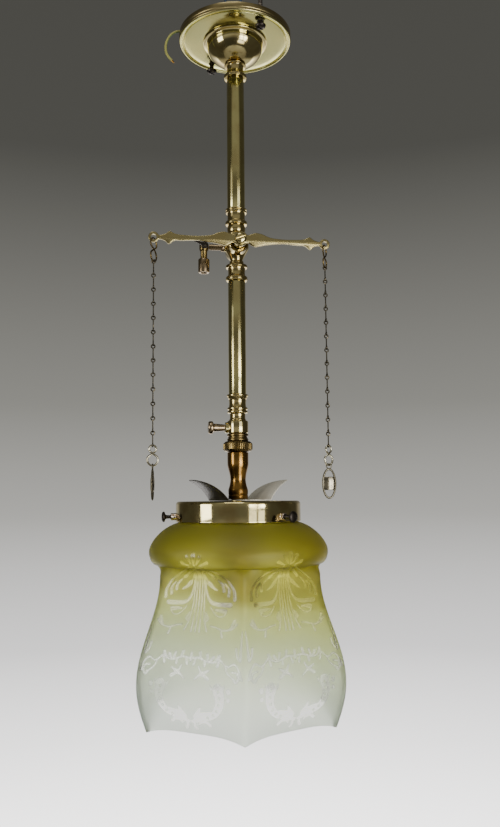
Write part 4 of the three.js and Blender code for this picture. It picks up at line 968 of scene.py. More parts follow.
# %% Union above the burner
BURNER_TOP = LOWER_TUBE_TOP - LOWER_LENGTH - SEAT
burner_union = turned("burner_union_skin", below(BURNER_TOP, [
    (5, -8), (5, 0), (7.5, 0), (7.75, 0.3), (7.75, 1.1), (7.4, 1.4), (7, 2.4), (6.6, 3.2),
    *waist(6.3, -0.3, 3.3, 5.8), *disc(7.35, 9.2, 1.9, 0.5), (6.4, 11.15), (6.4, 11.55),
    *disc(7.35, 11.6, 1.9, 0.5), (5.8, 13.6), *waist(5.7, -0.15, 13.8, 4.1),
    *disc(6.3, 18, 0.6, 0.15), (4.2, 18.6), (4.2, 22.6), (WIRE_BORE, 22.6), (WIRE_BORE, -8),
]), bored=True, corner=0.07)
dress(burner_union, "burner_union", "frame", TURNED_BRASS)

# %% Regulator sleeve and thumbscrew
SLEEVE_TOP = BURNER_TOP - 18.9
REGULATOR = SLEEVE_TOP - 4.8
sleeve = turned("regulator_sleeve_skin", below(SLEEVE_TOP, [
    *disc(7.5, 0, 9, 0.5), (5.8, 9), (5.8, 4.3), (4.5, 4.3), (4.5, 0),
]), bored=True, corner=0.08)
boss = turned("boss", [(3.9, 0), (3.9, 2.7), (3.5, 3.1)], sides=64, corner=0)
laid(boss, (-1, 0, 0), (-6.1, 0, REGULATOR))
merged(sleeve, boss)
needle_way = laid(turned("needle_way", [(1.4, -1), (1.4, 12)], sides=32, corner=0),
                  (-1, 0, 0), (0, 0, REGULATOR))
cut(sleeve, needle_way)
shade(sleeve)
dress(sleeve, "regulator_sleeve", "frame", BRASS)

thumbscrew = turned("regulator_screw_skin", [
    (1.1, 0), (1.1, 3.2), (2.3, 3.2), (2.45, 5), (2.7, 8), (2.9, 10.8), (3.3, 11.3),
    (4.1, 11.5), (4.5, 11.9), (4.6, 12.6), (4.6, 13.6), (4.4, 14.3), (3.9, 14.8),
    (3.2, 14.9), (1.2, 14.6),
], sides=72, corner=0)
laid(thumbscrew, (-1, 0, 0), (-6.3, 0, REGULATOR))
dress(thumbscrew, "regulator_screw", "regulator_screw", BROWN_BRASS)

# %% [markdown]
# ## Air band and milled ring
#
# Air for the burner is set by turning a milled ring. Its edge has fine teeth: one ring is
# turned, and the faces round its middle are picked by their place and pushed in by turns.

# %% Band and ring
BAND_TOP = SLEEVE_TOP - 9.3
band = turned("air_band_skin", below(BAND_TOP, [
    *disc(7.6, 0, 1.85, 0.35), (6.9, 1.9), (6.9, 3.2), *disc(7.6, 3.25, 1.85, 0.35), (5.8, 5.1),
    (5.8, 0),
]), bored=True, corner=0.07)
dress(band, "air_band", "frame", AGED_BRASS)

MILLED_TOP = BAND_TOP - 5.4
MILLED_SIDES = 144
milled = turned("air_ring_skin", below(MILLED_TOP, [
    (8.6, 0), (9.5, 0.6), (10.3, 1.5), (10.5, 1.8), (10.5, 5.6), (10.3, 5.9), (9.5, 6.8),
    (8.6, 7.4), (5.8, 7.4), (5.8, 0),
]), sides=MILLED_SIDES, bored=True, corner=0)
for vertex in milled.data.vertices:
    radius = math.hypot(vertex.co.x, vertex.co.y)
    if radius > 10.25 * MM:
        angle = math.atan2(vertex.co.y, vertex.co.x)
        step = round(angle / (2 * math.pi) * MILLED_SIDES) % 3
        share = (radius - (0.4 * MM if step == 0 else 0)) / radius
        vertex.co.x *= share
        vertex.co.y *= share
shade(milled, 25)
dress(milled, "air_ring", "air_ring", AGED_BRASS)

# %% [markdown]
# ## Bunsen tube
#
# Air and gas mix in this vase-shaped tube. It carries the heat of the burner, which has turned
# its lacquer a coppery brown.

# %% Bunsen tube
BUNSEN_TOP = MILLED_TOP - 7.7
bunsen = turned("bunsen_tube_skin", below(BUNSEN_TOP, [
    (5.5, -16), (5.5, 0), *disc(7.5, 0, 2.2, 0.35)[:2], (7.5, 8.2), (7.45, 9), (7.1, 11),
    (6.6, 13), (6.1, 15), (5.7, 17), (5.5, 19), (5.5, 20), (5.75, 22), (6.2, 24), (6.7, 25.6),
    (7, 26.6), (7, 29.6), (6.8, 29.8), (6.8, 30.2), (7, 30.4), (7, 33.2), (5.3, 33.2), (5.3, 26.2),
    (4.2, 26.2), (4.2, -16),
]), bored=True, corner=0.1)
dress(bunsen, "bunsen_tube", "frame", BRONZE)

# %% [markdown]
# ## Heat deflector
#
# The deflector keeps the burner's heat off the cock. It is a disc of thin sheet with two sides
# bent up into leaves. A disc is sliced along the lines of the bend with Bisect, its points are
# moved up along an arc, and Solidify gives it the thickness of the sheet.

# %% Deflector with two raised leaves
DEFLECTOR_RADIUS = 40
DEFLECTOR_FOOT = BUNSEN_TOP - 34.1
SHEET = 0.6
BEFORE_FOLD = 13.8
LEAF_FOLD = 14.5
LEAF_LENGTH = DEFLECTOR_RADIUS * math.cos(math.radians(7)) - LEAF_FOLD
LEAF_START = math.radians(60)
LEAF_BEND = LEAF_LENGTH / math.radians(50)
LEAF_SLICES = 12
DEFLECTOR_TURN = 4


def bent(x):
    """Where a point of the flat sheet goes: its new x and its height."""
    along = max(abs(x) - LEAF_FOLD, 0)
    if along == 0:
        return x, 0
    heading = LEAF_START - along / LEAF_BEND
    reach = LEAF_FOLD + LEAF_BEND * (math.sin(LEAF_START) - math.sin(heading))
    return math.copysign(reach, x), LEAF_BEND * (math.cos(heading) - math.cos(LEAF_START))


select_nothing()
bpy.ops.mesh.primitive_circle_add(vertices=180, radius=DEFLECTOR_RADIUS * MM, fill_type="NGON")
deflector = bpy.context.object
deflector.name = "heat_deflector_skin"
bpy.ops.object.mode_set(mode="EDIT")
slices = [LEAF_FOLD + LEAF_LENGTH * i / LEAF_SLICES for i in range(LEAF_SLICES + 1)]
slices.append(BEFORE_FOLD)
for x in slices + [-x for x in slices]:
    bpy.ops.mesh.select_all(action="SELECT")
    bpy.ops.mesh.bisect(plane_co=(x * MM, 0, 0), plane_no=(1, 0, 0))
bpy.ops.object.mode_set(mode="OBJECT")
for vertex in deflector.data.vertices:
    x, z = bent(vertex.co.x / MM)
    vertex.co.x = x * MM
    vertex.co.z = (z + DEFLECTOR_FOOT) * MM
apply(deflector, "SOLIDIFY", thickness=SHEET * MM, offset=1)
stem = turned("stem", [(STEM_HOLE, -300), (STEM_HOLE, -400)], sides=64, corner=0)
cut(deflector, stem)
soften_edges(deflector, 0.15, 2, 50)
deflector.rotation_euler.z = math.radians(DEFLECTOR_TURN)
settle(deflector)
shade(deflector, 30)
dress(deflector, "heat_deflector", "frame", GREY_SHEET)

# %% [markdown]
# ## Gallery
#
# The gallery is the spun cup that holds the glass. Its wall is polished like a mirror, its top
# is rounded over, and three screws in brass bushes reach under the lip of the glass.

# %% Gallery with its vents
GALLERY_TOP = DEFLECTOR_FOOT - SEAT
GALLERY_RADIUS = 44
GALLERY_FOOT = GALLERY_TOP - 14.3
VENT_CIRCLE = 27
VENT_RADIUS = 4
VENT_STEP = 38


def spot(angle, reach, height):
    """A place at an angle in degrees from the front, so far out from the axis."""
    turn = math.radians(angle)
    return (reach * math.sin(turn), -reach * math.cos(turn), height)


gallery = turned("gallery_skin", [
    (STEM_HOLE, GALLERY_TOP), (38, GALLERY_TOP),
    *arc(GALLERY_RADIUS - 2.3, GALLERY_TOP - 2.3, 2.3, 90, 0, 8),
    (GALLERY_RADIUS, GALLERY_FOOT + 1.2), (GALLERY_RADIUS + 0.15, GALLERY_FOOT + 0.8),
    (GALLERY_RADIUS + 0.15, GALLERY_FOOT + 0.3), (GALLERY_RADIUS - 0.2, GALLERY_FOOT),
    (GALLERY_RADIUS - 0.9, GALLERY_FOOT),
    *arc(GALLERY_RADIUS - 2.3, GALLERY_TOP - 2.3, 1.4, 0, 90, 6), (STEM_HOLE, GALLERY_TOP - 0.9),
], sides=200, bored=True, corner=0.06)
for side in (90, -90):
    for step in (-VENT_STEP, 0, VENT_STEP):
        vent = turned("vent", [(VENT_RADIUS, 3), (VENT_RADIUS, -4)], sides=40, corner=0)
        vent.location = [c * MM for c in spot(side + step, VENT_CIRCLE, GALLERY_TOP)]
        settle(vent)
        cut(gallery, vent)
shade(gallery, 35)
dress(gallery, "gallery", "frame", BRASS)

# %% Gallery screws and bushes
SCREW_ANGLES = (-87.6, 32.4, 152.4)
SCREW_REACHES = (10, 12.5, 12)
SCREW_HEIGHT = GALLERY_TOP - 10.5
BUSH_SEAT = 42.8
SCREW_TIP = 40.8
for number, (angle, reach) in enumerate(zip(SCREW_ANGLES, SCREW_REACHES), 1):
    outward = spot(angle, 1, 0)
    bush = turned(f"gallery_bush_{number}_skin", [
        (2.2, 0), (2.2, 1.5), (2.5, 1.5), (2.55, 2.4), (2.3, 3), (2.5, 3.6), (2.5, 4.6),
        (2.2, 5), (1.7, 5), (1.7, 0),
    ], sides=48, bored=True, corner=0.07)
    laid(bush, outward, spot(angle, BUSH_SEAT, SCREW_HEIGHT))
    dress(bush, f"gallery_bush_{number}", "frame", PALE_BRASS)
    end = GALLERY_RADIUS + reach - SCREW_TIP
    screw = turned(f"gallery_screw_{number}_skin", [
        (0.7, 0), (1.4, 1.4), (1.4, end - 6.2), (1.15, end - 5.6), (1.3, end - 3.2),
        (2, end - 2.4), (3.3, end - 2), (3.7, end - 1.5), (3.7, end - 1), (3.2, end - 0.4),
        (2, end),
    ], sides=56, corner=0)
    laid(screw, outward, spot(angle, SCREW_TIP, SCREW_HEIGHT))
    node = f"gallery_screw_{number}"
    dress(screw, node, node, DARK_STEEL)

# %% [markdown]
# ## Chains and pulls
#
# A chain link is a straight shank with two eyes at right angles, bent from one wire. It is
# modelled once and copied down the chain. The figure of eight above it and the hook below it
# are each one wire that crosses itself between two loops, and the hook's wire is drawn a little
# thicker than in the frame. The pull is a dark oval frame with a bright, rounded tablet across it.

# %% Wire loops and one link
LINK_WIRE = 0.45
LINK_EYE = 1.25
LINK_PITCH = 9.97
LINK_LENGTH = 10.72


def loop(name, radius, wire, height, sides, rounds, turn=0):
    """A ring of wire standing upright, with its centre at a height and facing -Y."""
    select_nothing()
    bpy.ops.mesh.primitive_torus_add(
        major_radius=radius * MM, minor_radius=wire * MM, major_segments=sides,
        minor_segments=rounds, rotation=(math.pi / 2, 0, 0), location=(0, 0, height * MM),
    )
    ring = bpy.context.object
    ring.name = name
    settle(ring)
    ring.rotation_euler.z = math.radians(turn)
    settle(ring)
    return ring


def shank(wire, top, foot):
    return turned("shank", [
        (wire, top), (wire * 0.92, (top + foot) / 2), (wire, foot),
    ], sides=10, corner=0)


def one_link():
    """A link hanging down from z = 0: its upper eye faces -Y and its lower eye X."""
    upper = loop("upper_eye", LINK_EYE, LINK_WIRE, -LINK_EYE, 18, 8)
    lower = loop("lower_eye", LINK_EYE, LINK_WIRE, LINK_EYE - LINK_LENGTH, 18, 8, turn=90)
    bar = shank(LINK_WIRE, 0.2 - 2 * LINK_EYE, 2 * LINK_EYE - LINK_LENGTH - 0.2)
    link = joined("link", upper, lower, bar)
    shade(link, 60)
    return link


link = one_link()
print("one link has", len(link.data.polygons), "faces")

# %% Two chains, each in two lengths
CHAIN_Y = -21
EYE_HEIGHT = PLUG_HEIGHT - EYE_DROP
# Radius of the upper loop, of the lower loop and of the wire
TOP_LINK = (4.2, 4.1, 0.55)
HOOK = (2.75, 4.12, 0.55)
HOOK_SKIN = (*HOOK[:2], 0.7)
TOP_LINK_TURN = 60
TOP_LINK_HANG = 0.8
HOOK_SQUASH = 0.87
PLAY = 0.2
links_top = -TOP_LINK_HANG - 2 * (TOP_LINK[0] + TOP_LINK[1]) + TOP_LINK[2] + LINK_WIRE + PLAY
upper_foot = links_top - 6 * LINK_PITCH - LINK_LENGTH
lower_top = upper_foot + 2 * LINK_WIRE + PLAY
lower_foot = lower_top - 5 * LINK_PITCH - LINK_LENGTH
hook_top = lower_foot + LINK_WIRE + HOOK[2] + PLAY
hook_foot = hook_top - 2 * (HOOK[0] + HOOK[1])


def length_of_chain(name, count, side, top):
    links = []
    for i in range(count):
        place = (side * REACH, CHAIN_Y, EYE_HEIGHT + top - i * LINK_PITCH)
        links.append(copied(link, f"{name}_{i}", place))
    return joined(name, *links)


LOOP_START = math.radians(-15)
LOOP_STEP = math.radians(21)
LOOP_POINTS = 11
CROSSING = 0.8


def figure_eight(name, sizes, squash, turn, side, top):
    """One wire bent into two loops, crossing itself between them; mirrored on the other side."""
    upper, lower, wire = sizes
    angles = [LOOP_START + i * LOOP_STEP for i in range(LOOP_POINTS)]
    middle = -2 * upper
    offset = CROSSING * wire * side
    points = [(upper * math.cos(a), 0, upper * (math.sin(a) - 1)) for a in angles]
    points.append((0, offset, middle))
    points += [(lower * math.cos(a), 0, middle - lower * (1 + math.sin(a))) for a in angles]
    points.append((0, -offset, middle))
    select_nothing()
    bpy.ops.curve.primitive_bezier_circle_add(location=(0, 0, 0))
    eight = bpy.context.object
    eight.name = name
    lay_points(eight.data.splines[0], [(x * squash, y, z) for x, y, z in points])
    eight.data.bevel_depth = wire * MM
    eight.data.bevel_resolution = 4
    eight.data.resolution_u = 4
    eight.rotation_euler.z = math.radians(turn)
    eight.location = Vector((side * REACH, CHAIN_Y, EYE_HEIGHT + top)) * MM
    bpy.ops.object.convert(target="MESH")
    settle(eight)
    shade(eight, 60)
    return eight


# Name, side, and the turns of the hook and the pull in degrees
SIDES = (("left", -1, -9, 81), ("right", 1, 28, -2))
for name, side, hook_turn, pull_turn in SIDES:
    eight = figure_eight(f"figure_eight_{name}", TOP_LINK, 1, TOP_LINK_TURN, side, -TOP_LINK_HANG)
    dress(eight, f"top_link_{name}", f"link_{name}", AGED_BRASS)
    upper_chain = length_of_chain(f"upper_length_{name}", 7, side, links_top)
    dress(upper_chain, f"chain_upper_{name}", f"chain_{name}", CHAIN_STEEL)
    lower_chain = length_of_chain(f"lower_length_{name}", 6, side, lower_top)
    dress(lower_chain, f"chain_lower_{name}", f"chain_end_{name}", CHAIN_STEEL)
    hook = figure_eight(f"hook_{name}", HOOK_SKIN, HOOK_SQUASH, hook_turn, side, hook_top)
    dress(hook, f"pull_hook_{name}", f"chain_end_{name}", NICKEL)
bpy.data.objects.remove(link)

# %% Pulls
PULL_HALF_WIDTH = 5.1
PULL_HALF_HEIGHT = 10.7
PULL_FRAME = 1.5
PULL_EYE = 1.35
FRAME_FLATNESS = 0.6
TABLET_FLATNESS = 0.32


def pull():
    """An oval frame with a small eye centred on the origin, and the rounded tablet across it."""
    centre = -PULL_HALF_HEIGHT - PULL_EYE
    ring = 2
    oval = loop("oval", ring, 1, 0, 96, 16)
    for vertex in oval.data.vertices:
        x, y, z = vertex.co / MM
        outwards = math.hypot(x, z) - ring
        swing = math.atan2(z, x)
        swell = PULL_FRAME / 2 * (outwards - 1)
        vertex.co.x = (PULL_HALF_WIDTH + swell) * math.cos(swing) * MM
        vertex.co.z = ((PULL_HALF_HEIGHT + swell) * math.sin(swing) + centre) * MM
        vertex.co.y = FRAME_FLATNESS * y * MM
    tablet = turned("tablet", [
        (3.2, 4.7), (3.9, 4.4), (4.3, 2.5), (4.4, 0), (4.3, -2.4), (3.9, -4.2), (3.2, -4.5),
    ], sides=64, corner=0.3)
    tablet.scale.y = TABLET_FLATNESS
    tablet.location.z = centre * MM
    settle(tablet)
    eye = loop("pull_eye", PULL_EYE + 0.37, 0.42, 0, 40, 12)
    return joined("pull", oval, eye), tablet


blanks = pull()
for name, side, hook_turn, pull_turn in SIDES:
    eye_height = EYE_HEIGHT + hook_foot + HOOK[2] + PLAY - PULL_EYE
    parts = ((f"pull_{name}", DARK_NICKEL), (f"pull_tablet_{name}", WORN_NICKEL))
    for blank, (part_name, finish) in zip(blanks, parts):
        twin = copied(blank, f"{part_name}_skin")
        twin.rotation_euler.z = math.radians(pull_turn)
        twin.location = Vector((side * REACH, CHAIN_Y, eye_height)) * MM
        settle(twin)
        shade(twin, 40)
        node = part_name if blank is blanks[0] else None
        dress(twin, node, f"pull_{name}", finish)
for blank in blanks:
    bpy.data.objects.remove(blank)

# %% [markdown]
# ## Lampholder
#
# Electric light came later: a lampholder hangs on the gallery's nipple and shows as a dark shape
# through the glass. It keeps the frame's own parts for what is hidden, and gets finer turned
# skins for the cap, shell and ring.

# %% Lampholder skins
CAP_TOP = -368.6
cap = turned("holder_cap_skin", below(CAP_TOP, [
    (7, 0), (7, 5.6), (7.6, 6.4), (9.6, 8.2), (12, 10.4), (13.4, 12.2), (14, 13.6), (14, 22),
    (12.8, 22), (12.8, 14), (5.3, 7.2), (5.3, 0),
]), sides=96, bored=True, corner=0.2)
dress(cap, "holder_cap", "frame", BRASS)

SHELL_TOP = CAP_TOP - 22.3
SHELL_SLOT = (30, 2.6, 18)
shell = turned("holder_shell_skin", below(SHELL_TOP, [
    (15.2, 0), (15.6, 0.4), (15.6, 4.2), (15.2, 4.6), (13.5, 4.6), (13.5, 32.8), (13.3, 34),
    (12.5, 34), (12.3, 33), (12.3, 0),
]), sides=96, bored=True, corner=0.12)
select_nothing()
bpy.ops.mesh.primitive_cube_add(size=1, location=(0, 0, (SHELL_TOP - 34) * MM))
slot_tool = bpy.context.object
slot_tool.scale = [c * MM for c in SHELL_SLOT]
settle(slot_tool)
cut(shell, slot_tool)
shade(shell)
dress(shell, "holder_shell", "frame", BRASS)

RING_TOP = SHELL_TOP - 16
ring = turned("holder_ring_skin", below(RING_TOP, [
    (16.3, 0), (16.8, 0.5), (16.8, 3.9), (16.3, 4.4), (13.8, 4.4), (13.8, 0),
]), sides=120, bored=True, corner=0.1)
dress(ring, "holder_ring", "frame", BRASS)

# %% Finishes for the parts of the frame that stay
KEPT = {
    "cock_plug": BRASS, "plug_washer": BRASS, "plug_nut": BRASS, "earth_tag": BRASS,
    "rod_locknut": BRASS, "gallery_nipple": BRASS, "gallery_nut": BRASS,
    "holder_insulator": CERAMIC, "contact_left": BRASS, "contact_right": BRASS,
    "rod_wire_live": BLUE_SHEATH, "rod_wire_neutral": BLUE_SHEATH,
}
for node, finish in KEPT.items():
    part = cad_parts[node]
    part.data.materials.clear()
    part.data.materials.append(finish.material)
print(len(KEPT), "parts of the frame keep their shape")

# %% [markdown]
# ## Glass shade
#
# The shade is one blown and pressed piece of glass: a round shoulder that turns, under a crease,
# into six flat panels with an arched rim. A fine grid is rolled into that shape. Its levels are
# the rows of the grid, and a soft six-sided curve gives the radius in each direction.

# %% Levels of the shade
SHADE_TOP = -355.4
SHADE_TURN = -5.6
PANEL = math.radians(60)
CORNER_SHARPNESS = 70
LIP, NECK, SHOULDER, CREASE, WAIST, BELLY, RIM = 42.2, 40.5, 62.6, 57.8, 61.6, 78.5, 71.4
SHOULDER_DROP, CREASE_DROP, WAIST_DROP, BELLY_DROP, RIM_DROP = 19.7, 8.7, 6.4, 67.2, 29.4
NECK_FOOT = -8.7
SHOULDER_FOOT = NECK_FOOT - SHOULDER_DROP
CREASE_FOOT = SHOULDER_FOOT - CREASE_DROP
WAIST_FOOT = CREASE_FOOT - WAIST_DROP
BELLY_FOOT = WAIST_FOOT - BELLY_DROP
FULLNESS = 1.25
RIM_ARCH = 3.9


def shade_levels(shoulder, crease, waist, belly, rim):
    """Rows from the neck to the rim: (height, round radius, corner radius, six-sided, arch)."""
    rows = []
    for i in range(1, shoulder + 1):
        angle = math.pi / 2 * i / shoulder
        spread = math.sin(angle) ** FULLNESS
        drop = 1 if i == shoulder else 1 - math.cos(angle) ** FULLNESS
        radius = NECK + (SHOULDER - NECK) * spread
        rows.append((NECK_FOOT - SHOULDER_DROP * drop, radius, radius, 0, 0))
    for i in range(1, crease + 1):
        angle = math.pi / 2 * i / crease
        radius = CREASE + (SHOULDER - CREASE) * math.cos(angle)
        rows.append((SHOULDER_FOOT - CREASE_DROP * math.sin(angle), radius, radius, 0, 0))
    for i in range(1, waist + 1):
        share = i / waist
        six = 1 - (1 - share) ** 2.2
        rows.append((CREASE_FOOT - WAIST_DROP * share, CREASE, WAIST, six, 0))
    for i in range(1, belly + 1):
        share = i / belly
        corner = WAIST + (BELLY - WAIST) * ((1 - math.cos(math.pi * share)) / 2)
        rows.append((WAIST_FOOT - BELLY_DROP * share, CREASE, corner, 1, 0))
    for i in range(1, rim + 1):
        share = i / rim
        corner = RIM + (BELLY - RIM) * math.cos(math.pi / 2 * share)
        rows.append((BELLY_FOOT - RIM_DROP * share, CREASE, corner, 1, share ** 2))
    return rows


def widest(row):
    """Radius of a row at its corners, between the round one and the six-sided one."""
    height, round_radius, corner, six, arch = row
    return round_radius * (1 - six) + corner * six


def inner_levels(rows, wall):
    """The same rows seen from inside, a wall's thickness in, from the rim up."""
    inside = []
    for i in range(len(rows) - 1, 0, -1):
        height, round_radius, corner, six, arch = rows[i]
        over, under = rows[i - 1], rows[min(i + 1, len(rows) - 1)]
        run = widest(under) - widest(over)
        fall = over[0] - under[0]
        inwards = wall * fall / math.hypot(run, fall)
        lowered = wall * run / math.hypot(run, fall) if i < len(rows) - 1 else 0
        inside.append((height - lowered, round_radius - inwards, corner - inwards, six, arch))
    return inside


def soft_hexagon(corner, angle):
    """Radius of a six-sided ring with rounded corners, at an angle from a panel's middle."""
    total = sum(max(math.cos(angle - k * PANEL), 0) ** CORNER_SHARPNESS for k in (-1, 0, 1))
    return corner * math.cos(PANEL / 2) / total ** (1 / CORNER_SHARPNESS)


def shade_point(level, turn):
    """Place of a point of the shade, and how far it is across its panel, in mm."""
    height, round_radius, corner, six, arch = level
    from_middle = turn % PANEL - PANEL / 2
    radius = round_radius * (1 - six) + soft_hexagon(corner, from_middle) * six
    rise = RIM_ARCH * arch * (1 - (from_middle / (PANEL / 2)) ** 4)
    angle = turn + math.radians(SHADE_TURN)
    place = Vector((
        radius * math.sin(angle), -radius * math.cos(angle), SHADE_TOP + height + rise,
    ))
    return place * MM, radius * math.sin(from_middle)


GLASS = 2.6
NECK_BORE = NECK - GLASS
neck = [(0, 41.6), (-0.6, LIP), (-2.4, LIP), (-3, 41.4), (-3.6, NECK), (NECK_FOOT, NECK)]
outside = [(height, radius, radius, 0, 0) for height, radius in neck]
outside += shade_levels(shoulder=14, crease=9, waist=7, belly=76, rim=30)
inside = inner_levels(shade_levels(shoulder=6, crease=3, waist=2, belly=8, rim=5), GLASS)
inside += [(height, NECK_BORE, NECK_BORE, 0, 0) for height in (NECK_FOOT, 0)]
LEVELS = outside + inside + [outside[0]]
print("shade:", len(outside), "levels outside and", len(inside), "inside")

# %% [markdown]
# The glass is ground all over, and the ornament is left clear: a small palmette on the crease of
# every panel, a fan of drapery under it, swags, twigs, and a pair of curled horns at the foot.
# Every shape is a stroke with a width at each end. A point of the glass stores how far it is
# from the nearest stroke, and the finish turns that distance into a sharp edge. The inner wall
# was never ground, so it counts as clear all over.

# %% Ornament of one panel
def ornament():
    """Strokes as (points, first width, last width). Points are (across, down from the crease)."""
    strokes = []

    def draw(points, first, last, steps=3):
        if len(points) > 2:
            points = [tuple(p) for p in through(points, steps, closed=False)]
        strokes.append((points, first, last))

    # Palmette on the crease
    draw([(0, -2.5), (0, -9.4)], 1.0, 3.4)
    draw([(1.6, -3.2), (4.8, -8.2)], 0.9, 2.8)
    draw([(3.2, -2.4), (6.4, -3.4), (9.2, -4.6)], 0.9, 2.5)
    # Leaf sprays to both sides
    draw([(4.3, -1.4), (10, 1), (15.1, 3.5), (20, 6.6), (22.6, 9.5)], 1.1, 1.5)
    draw([(0.8, -1.1), (7.2, 2.4), (11.0, 5.2)], 0.9, 2.2)
    draw([(2.9, -0.1), (4.2, 4.6), (6.7, 8.9)], 0.9, 1.1)
    draw([(6.7, 8.6), (9.8, 11.4), (13, 13)], 3.0, 0.9)
    draw([(13, 6.5), (16.5, 9.6), (17.5, 13)], 1.0, 2.4)
    draw([(18, 8.5), (21, 12), (21, 16)], 1.0, 2.2)
    draw([(22.6, 9.5), (25, 13.5), (25.4, 18)], 1.5, 2.4)
    # Plume of fine lines down the middle
    draw([(0, 0), (0, 38)], 0.9, 1.1)
    draw([(0.9, 0), (1.8, 12), (2.2, 25), (3.0, 38)], 0.8, 1.2)
    draw([(1.9, 0), (3.4, 12), (4.3, 25), (6.2, 33), (8.2, 37.4)], 0.8, 1.2)
    # Swag, curl and drop under the sprays
    draw([(3.2, 4), (4.6, 12), (6.2, 17), (9, 20.2), (13.7, 21.4), (22.8, 21.4)], 0.9, 2.9)
    draw([(8.9, 23.3), (12.5, 27.3), (16.7, 28.7), (19.9, 26.8), (20.4, 24.4)], 0.9, 1.0)
    draw([(12.4, 24.6), (18.8, 25.2)], 1.4, 2.6)
    draw([(6.0, 26.6), (6.6, 30)], 0.8, 4.2)
    # Hanging branch
    draw([(28.8, 32.3), (25.4, 35.2), (19.8, 36.3), (14, 34.8), (10, 34.2)], 1.4, 0.9)
    draw([(24, 35.6), (27, 30.5)], 0.8, 2.2)
    draw([(18, 36), (19.5, 40)], 0.8, 1.8)
    draw([(33, 36), (33.6, 44), (34.2, 52)], 0.8, 2.0)
    draw([(30.6, 46), (31.6, 50), (34, 53)], 1.6, 0.9)
    # Vine of twigs
    draw([(0, 53.6), (4, 52.7), (7.4, 53.2), (12.8, 54.8), (17, 54.4), (20, 52.6), (24.2, 55.8),
          (27, 56.4)], 1.3, 1.0)
    for across, down, side, rise in (
        (0, 55.4, 0, -5), (3.6, 53, -1.2, 3.6), (7.4, 53.2, -1.4, -3.4), (12.4, 54.6, -1, -3.8),
        (13.2, 54.8, 2.6, -3), (17.2, 54.4, 2.6, -3.6), (20.4, 52.8, -1.4, 3.8),
        (9.6, 53.8, 0.6, 3),
    ):
        draw([(across, down), (across + side, down + rise)], 0.9, 2.0)
    draw([(6, 57.4), (8.4, 61.4), (13, 64.2)], 0.9, 2.2)
    draw([(8.2, 62), (13.4, 59.4)], 2.4, 0.9)
    draw([(7.6, 62.2), (3.4, 65.4)], 1.6, 0.8)
    # Scroll at the corner
    draw([(27, 56.4), (30.4, 54.6), (34, 58), (36.2, 63)], 1.0, 1.5)
    draw([(29, 59), (32.6, 59.6), (34, 62.4), (32.4, 64.8), (30.6, 63)], 1.0, 1.9)
    draw([(24.2, 55.8), (26, 59.6), (29, 62)], 0.9, 1.2)
    # Horn of the foot, with leaf, balls and scrolls
    draw([(1.4, 92.4), (8, 90.2), (16, 86.6), (20.6, 81), (21.8, 75.4), (20.4, 70)], 2.4, 7.4, 5)
    draw([(4.6, 88.8), (8.1, 81.4)], 5.0, 0.5)
    draw([(8.4, 87), (15.6, 84)], 4.4, 0.6)
    draw([(15.9, 69.9), (15.0, 67.6)], 1.4, 0.8)
    draw([(23.8, 69.4), (25, 67.2)], 1.4, 0.8)
    draw([(27.7, 70.3), (27.8, 70.4)], 3.4, 3.4)
    draw([(27.5, 75.2), (27.6, 75.3)], 2.8, 2.8)
    draw([(3.0, 93), (2.4, 95.6), (3.6, 97.8)], 1.2, 2.7)
    draw([(5.4, 94.6), (8, 92.4), (11.4, 92.2), (13.4, 93.8)], 1.0, 2.7)
    return strokes


STROKES = ornament()
print(len(STROKES), "strokes in half a panel")


def from_stroke(across, down, stroke):
    """Distance in mm from a point to a stroke's edge, below 0 inside it."""
    points, first, last = stroke
    nearest = math.inf
    count = len(points) - 1
    for i in range(count):
        ax, ay = points[i]
        bx, by = points[i + 1]
        run, fall = bx - ax, by - ay
        share = ((across - ax) * run + (down - ay) * fall) / (run * run + fall * fall)
        share = min(max(share, 0), 1)
        gap = math.hypot(across - ax - share * run, down - ay - share * fall)
        width = first + (last - first) * (i + share) / count
        nearest = min(nearest, gap - width / 2)
    return nearest


BEAD_RADIUS = 1.0
BEADS = [(12.6, 88.4), (16.4, 86.2), (19.2, 83), (20.9, 79), (21.4, 74.8), (20.7, 71)]


def from_ornament(across, down):
    """The same for the whole ornament, less the row of beads in each horn."""
    across = abs(across)
    nearest = min(from_stroke(across, down, stroke) for stroke in STROKES)
    bead = min(math.hypot(across - x, down - y) for x, y in BEADS) - BEAD_RADIUS
    return max(nearest, -bead)


# %% Roll the grid into the shade
COLUMNS_PER_PANEL = 85
COLUMNS = 6 * COLUMNS_PER_PANEL
ROWS = len(LEVELS)
ORNAMENT_TOP = -13
FAR = 9
select_nothing()
bpy.ops.mesh.primitive_grid_add(x_subdivisions=COLUMNS, y_subdivisions=ROWS - 1, size=2)
glass = bpy.context.object
glass.name = "glass_shade_skin"
distances = {}
values = []
for vertex in glass.data.vertices:
    column = round((vertex.co.x + 1) / 2 * COLUMNS)
    row = round((1 - vertex.co.y) / 2 * (ROWS - 1))
    vertex.co, across = shade_point(LEVELS[row], 2 * math.pi * column / COLUMNS)
    key = (column % COLUMNS_PER_PANEL, row)
    if key not in distances:
        down = CREASE_FOOT - LEVELS[row][0]
        if row >= len(outside):
            distances[key] = -FAR
        elif down > ORNAMENT_TOP:
            distances[key] = from_ornament(across, down)
        else:
            distances[key] = FAR
    values.append(distances[key])
mark = glass.data.attributes.new("ornament", "FLOAT", "POINT")
mark.data.foreach_set("value", values)
bpy.ops.object.mode_set(mode="EDIT")
heal(0.01)
shade(glass, 50)
low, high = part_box("glass_shade")
print("glass:", len(glass.data.polygons), "faces; CAD", [round(c / MM, 1) for c in (*low, *high)])
